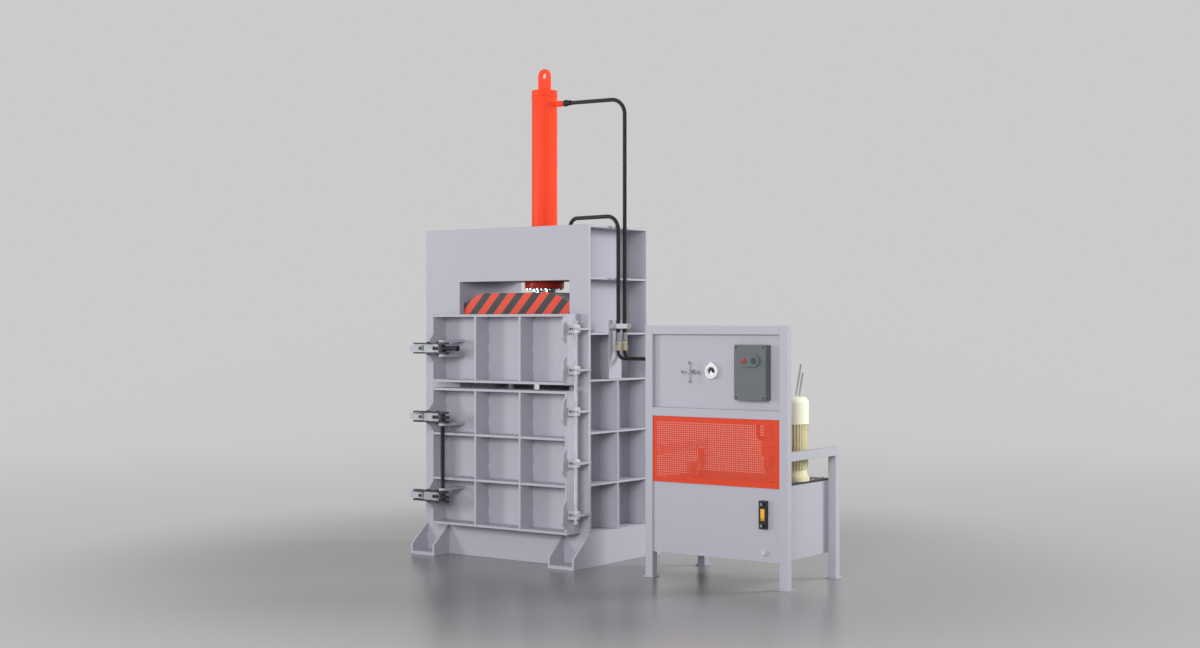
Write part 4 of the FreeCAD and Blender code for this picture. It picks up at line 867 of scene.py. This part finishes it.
class BALER_OT_welds(bpy.types.Operator):
    """Lay the stitches of fillet weld on the doors, the ribs, the feet and the keepers"""
    bl_idname = "baler.welds"
    bl_label = "Weld stitches"

    def execute(self, context):
        detail = context.scene.baler_detail
        for door, foot, head, rows in (("upper_door", 1.118, 1.552, 1), ("lower_door", 0.208, 1.082, 3)):
            put(door + "_welds", weld_lines(door_seams(foot, head, rows), detail), "plate_paint", door, 50)
        put("frame_welds", weld_lines(frame_seams(), detail), "plate_paint", smooth_angle=50)
        return {"FINISHED"}


class BALER_OT_power_pack(bpy.types.Operator):
    """Paint the power pack's frame, tank and panel, and fit the lid's gasket and bolts"""
    bl_idname = "baler.power_pack"
    bl_label = "Frame and tank"

    def execute(self, context):
        detail = context.scene.baler_detail
        dress(["pack_frame"], "pack_paint", detail.tube_edge)
        dress(["control_panel", "oil_tank"], "pack_paint", detail.plate_edge)
        dress(["tank_lid"], "lid_paint", detail.plate_edge)
        dress(["level_gauge"], "black_plastic", detail.fitting_edge)
        dress(["tank_fittings"], "hinge_steel", detail.fitting_edge)
        low, high = corners("tank_lid")
        rim = corners("oil_tank")[1][2]
        band = soft_block((high[0] - low[0], 0.0022, 0.003), 0.0008, 2)
        strips = [moved(band, ((low[0] + high[0]) / 2, y, rim)) for y in (low[1] - 0.0014, high[1] + 0.0006)]
        put("lid_gasket", joined(*strips), "black_rubber")
        inset, clear_of_motor = 0.03, 0.16
        xs = np.linspace(low[0] + inset, high[0] - inset, 8)
        ys = np.linspace(low[1] + inset, high[1] - inset, 5)[1:-1]
        seats = [(x, y, high[2]) for x in xs for y in (low[1] + 0.02, high[1] - 0.02)]
        seats += [(x, y, high[2]) for x in (low[0] + 0.02, high[0] - 0.02) for y in ys
                  if math.hypot(x - MOTOR_X, y - MOTOR_Y) > clear_of_motor]
        put("lid_bolts", scattered(hex_head(0.013, 0.0055, 0.0015), seats, Z, 0.3), "machined_steel")
        return {"FINISHED"}


class BALER_OT_guard(bpy.types.Operator):
    """Press the guard's fine field of square holes and fit its screws"""
    bl_idname = "baler.guard"
    bl_label = "Perforated guard"

    def execute(self, context):
        detail = context.scene.baler_detail
        low, high = corners("mesh_guard")
        border, bar = 0.030, detail.guard_pitch - detail.guard_hole

        def marks(a, b):
            """The edges of the holes between a and b, centred, with the plate's own two edges."""
            count = int((b - a - 2 * border + bar) // detail.guard_pitch)
            start = (a + b - count * detail.guard_pitch + bar) / 2 + np.arange(count) * detail.guard_pitch
            return np.concatenate([[a], np.stack([start, start + detail.guard_hole], -1).ravel(), [b]])

        xs, zs = marks(low[0], high[0]), marks(low[2], high[2])
        is_hole = (np.arange(len(xs) - 1) % 2 == 1)[:, None] & (np.arange(len(zs) - 1) % 2 == 1)[None]
        sheet = put("guard_sheet", pressed_grid(xs, zs, ~is_hole, low[1], high[1]), "guard_paint", smooth_angle=30)
        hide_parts("mesh_guard")
        seats = [(x, low[1] + 0.0004, z) for x in np.linspace(low[0] + 0.014, high[0] - 0.014, 5)
                 for z in (low[2] + 0.022, high[2] - 0.014)]
        put("guard_screws", scattered(pan_head(0.006, 0.0035), seats, -Y), "guard_paint")
        return {"FINISHED"}


class BALER_OT_panel(bpy.types.Operator):
    """Finish the gauge, the handwheel and the starter box, with their dial, collars and screws"""
    bl_idname = "baler.panel"
    bl_label = "Panel fittings"

    def execute(self, context):
        edge = context.scene.baler_detail.fitting_edge
        dress(["starter_box"], "starter_paint", edge)
        dress(["stop_button"], "red_plastic", edge)
        dress(["start_button"], "green_plastic", edge)
        dress(["pressure_gauge", "gauge_pointer"], "white_enamel", 0.0006)
        dress(TURNED_PIECES, "machined_steel")
        centre = np.array([GAUGE_X, corners("pressure_gauge")[0][1], GAUGE_Z])
        disc = turned([(0, 0), (0.0258, 0), (0.0258, 0.0006), (0, 0.0006)], 48)
        put("gauge_dial", scattered(disc, centre + [0, 0.0081, 0], -Y), "gauge_dial")
        bezel = turned([(0.0255, 0), (0.0262, 0.0022), (0.0285, 0.003), (0.0305, 0.0018), (0.031, 0.0)], 48)
        back = turned([(0.031, 0), (0.0255, 0)], 48)
        put("gauge_bezel", scattered(joined(bezel, back), centre, -Y), "white_enamel", smooth_angle=50)
        tick, ring, ticks = soft_block((0.0045, 0.0011, 0.0004), 0.00015, 1), 0.0205, []
        for a in np.radians(np.arange(-45, 226, 27)):
            across, up = math.cos(a), math.sin(a)
            spin = np.array([[across, 0, up], [-up, 0, across], [0, 1, 0]])
            ticks.append(moved((tick[0] @ spin, tick[1]), centre + [ring * across, 0.0073, ring * up]))
        put("gauge_ticks", joined(*ticks), "white_enamel")
        low, high = corners("starter_box")
        seam, inset = low[1] + 0.015, 0.014
        seats = [(x, seam, z) for x in (low[0] + inset, high[0] - inset) for z in (low[2] + inset, high[2] - inset)]
        put("starter_screws", scattered(pan_head(0.0055, 0.003), seats, -Y), "forged_steel")
        collar = turned([(0.0156, 0), (0.0158, 0.0032), (0.0172, 0.0042), (0.0192, 0.0032), (0.0198, 0), (0.0156, 0)],
                        40)
        rims = [(x, low[1], BUTTON_Z) for x in BUTTON_X]
        put("button_collars", scattered(collar, rims, -Y), "starter_paint", smooth_angle=50)
        lip = soft_block((high[0] - low[0] + 0.003, 0.004, high[2] - low[2] + 0.003), 0.0018)
        middle = (low + high) / 2
        put("starter_seam", moved(lip, (middle[0], seam + 0.012, middle[2])), "starter_paint")
        put("wheel_nut", scattered(ring_nut(0.0083, 0.030, 0.009), [WHEEL_FOOT], -Y), "machined_steel")
        return {"FINISHED"}


class BALER_OT_level_gauge(bpy.types.Operator):
    """Fit the level gauge's amber window and its two bright screws"""
    bl_idname = "baler.level_gauge"
    bl_label = "Level gauge"

    def execute(self, context):
        front = corners("level_gauge")[0][1] + 0.008
        pane = soft_block((0.027, 0.010, 0.067), 0.002)
        put("gauge_pane", moved(pane, (LEVEL_X, front + 0.0058, LEVEL_Z)), "gauge_window")
        seats = [(LEVEL_X, front - 0.0085, z) for z in (LEVEL_Z - 0.06, LEVEL_Z + 0.06)]
        put("gauge_screws", scattered(socket_head(0.0085, 0.006, 0.004), seats, -Y), "machined_steel")
        return {"FINISHED"}


class BALER_OT_motor(bpy.types.Operator):
    """Paint the motor and fit its flange bolts, box lid and cable gland"""
    bl_idname = "baler.motor"
    bl_label = "Motor"

    def execute(self, context):
        dress(["motor_body"], "motor_paint")
        dress(["motor_cowl"], "cowl_paint")
        bolt_circle, flange_top = 0.122, 0.609
        turn = np.radians(np.arange(4) * 90 + 45)
        seats = np.stack([MOTOR_X + bolt_circle * np.cos(turn), MOTOR_Y + bolt_circle * np.sin(turn),
                          np.full(4, flange_top)], -1)
        put("flange_bolts", scattered(hex_head(0.017, 0.008, 0.002), seats, Z, 0.2), "machined_steel")
        lid = soft_block((0.118, 0.008, 0.108), 0.003)
        put("box_lid", moved(lid, (MOTOR_X, -0.2595, TERMINAL_Z)), "motor_paint")
        screws = [(MOTOR_X + dx, -0.2634, TERMINAL_Z + dz) for dx in (-0.05, 0.05) for dz in (-0.045, 0.045)]
        put("box_screws", scattered(pan_head(0.0045, 0.003), screws, -Y), "machined_steel")
        gland = joined(turned([(0, 0), (0.013, 0), (0.013, 0.006), (0, 0.006)], 6),
                       turned([(0, 0.006), (0.0105, 0.006), (0.0105, 0.014), (0.008, 0.019), (0, 0.019)], 28))
        put("cable_gland", scattered(gland, [(MOTOR_X - 0.0548, -0.225, TERMINAL_Z)], -X), "black_plastic")
        return {"FINISHED"}


class BALER_OT_stage(bpy.types.Operator):
    """Set the floor, the soft studio lights and the camera.
    The floor is flat to the bend, then p(f) = (bend + R sin f, R (1 - cos f)), then a wall"""
    bl_idname = "baler.stage"
    bl_label = "Stage"

    def execute(self, context):
        scene, stage = context.scene, context.scene.baler_stage
        away, across, centre = np.array([[-0.585, 0.811, 0.0], [0.811, 0.585, 0.0], [0.68, 0.0, 0.0]])
        near, bend, radius, height, half_width = -14.0, 9.0, 5.0, 14.0, 22.0
        f = np.linspace(0, np.pi / 2, 33)[1:]
        depth = np.concatenate([np.linspace(near, bend, 12), bend + radius * np.sin(f), [bend + radius]])
        rise = np.concatenate([np.zeros(12), radius * (1 - np.cos(f)), [height]])
        reach = np.linspace(-half_width, half_width, 9)
        p = centre + depth[:, None, None] * away + reach[None, :, None] * across + rise[:, None, None] * Z
        verts, quads = sheet_grid(p)
        mesh = bpy.data.meshes.new("studio_floor")
        mesh.from_pydata(verts.tolist(), [], quads.tolist())
        mesh.polygons.foreach_set("use_smooth", np.ones(len(quads), bool))
        floor = bpy.data.objects.new("studio_floor", mesh)
        scene.collection.objects.link(floor)
        mesh.materials.append(floor_finish("studio_floor", stage, centre))

        # The room lights the machine evenly; the camera sees it in the backdrop's own tone.
        scene.world = scene.world or bpy.data.worlds.new("room")
        scene.world.use_nodes = True
        room = scene.world.node_tree
        back = fill(room, room.nodes["Background"], Color=(0.96, 0.98, 1.0), Strength=stage.sky)
        seen = node(room, "ShaderNodeBackground", Color=stage.backdrop)
        split = node(room, "ShaderNodeMixShader", _0=node(room, "ShaderNodeLightPath").outputs["Is Camera Ray"],
                     _1=back.outputs[0], _2=seen.outputs[0])
        room.links.new(split.outputs[0], room.nodes["World Output"].inputs["Surface"])

        # Each light: its name, place, aim, width, height, power, and whether it is mirrored in the machine and floor.
        for name, place, aim, wide, tall, watts, mirrored in (
                ("key_light", (-6.2, -6.7, 2.1), (0.1, -0.3, 1.1), 1.8, 1.8, stage.key, True),
                ("side_light", (6.6, 5.6, 3.3), (0.9, 0.0, 0.8), 2.4, 2.4, stage.side, False),
                ("fill_light", (4.6, -10.2, 3.3), (0.7, -0.3, 1.1), 4.0, 3.0, stage.fill, False)):
            lamp = bpy.data.lights.new(name, "AREA")
            lamp.shape, lamp.size, lamp.size_y = "RECTANGLE", wide, tall
            lamp.energy = watts
            holder = bpy.data.objects.new(name, lamp)
            holder.location = place
            holder.rotation_euler = (Vector(aim) - Vector(place)).to_track_quat("-Z", "Y").to_euler()
            holder.visible_glossy = mirrored
            scene.collection.objects.link(holder)

        lens = bpy.data.cameras.new("view")
        lens.lens, lens.sensor_width = stage.lens, 36.0
        lens.clip_end = 200.0
        camera = bpy.data.objects.new("view", lens)
        camera.location = (6.670, -8.530, 1.490)
        camera.rotation_euler = Vector(away).to_track_quat("-Z", "Y").to_euler()
        scene.collection.objects.link(camera)
        scene.camera = camera
        scene.view_settings.view_transform = "Standard"
        scene.view_settings.look = "None"
        return {"FINISHED"}


class BALER_PT_panel(bpy.types.Panel):
    """Sizes, colours and build steps of the baler's finish"""
    bl_idname = "BALER_PT_panel"
    bl_label = "Recycling Baler"
    bl_space_type = "VIEW_3D"
    bl_region_type = "UI"
    bl_category = "Baler"

    def draw(self, context):
        layout = self.layout
        for step in STEPS:
            layout.operator(step.bl_idname)
        for settings in (context.scene.baler_paint, context.scene.baler_detail, context.scene.baler_stage):
            column = layout.box().column()
            for key in settings.__annotations__:
                column.prop(settings, key)


STEPS = (
    BALER_OT_plates, BALER_OT_press, BALER_OT_cylinder, BALER_OT_hydraulics, BALER_OT_latches, BALER_OT_welds,
    BALER_OT_power_pack, BALER_OT_guard, BALER_OT_panel, BALER_OT_level_gauge, BALER_OT_motor, BALER_OT_stage,
)
SETTINGS = (BalerPaint, BalerDetail, BalerStage)


def register():
    for kind in SETTINGS + STEPS + (BALER_PT_panel,):
        bpy.utils.register_class(kind)
    bpy.types.Scene.baler_paint = PointerProperty(type=BalerPaint)
    bpy.types.Scene.baler_detail = PointerProperty(type=BalerDetail)
    bpy.types.Scene.baler_stage = PointerProperty(type=BalerStage)


def unregister():
    del bpy.types.Scene.baler_stage
    del bpy.types.Scene.baler_detail
    del bpy.types.Scene.baler_paint
    for kind in reversed(SETTINGS + STEPS + (BALER_PT_panel,)):
        bpy.utils.unregister_class(kind)


def main():
    register()
    for step in STEPS:
        family, name = step.bl_idname.split(".")
        getattr(getattr(bpy.ops, family), name)()


if __name__ == "__main__":
    main()
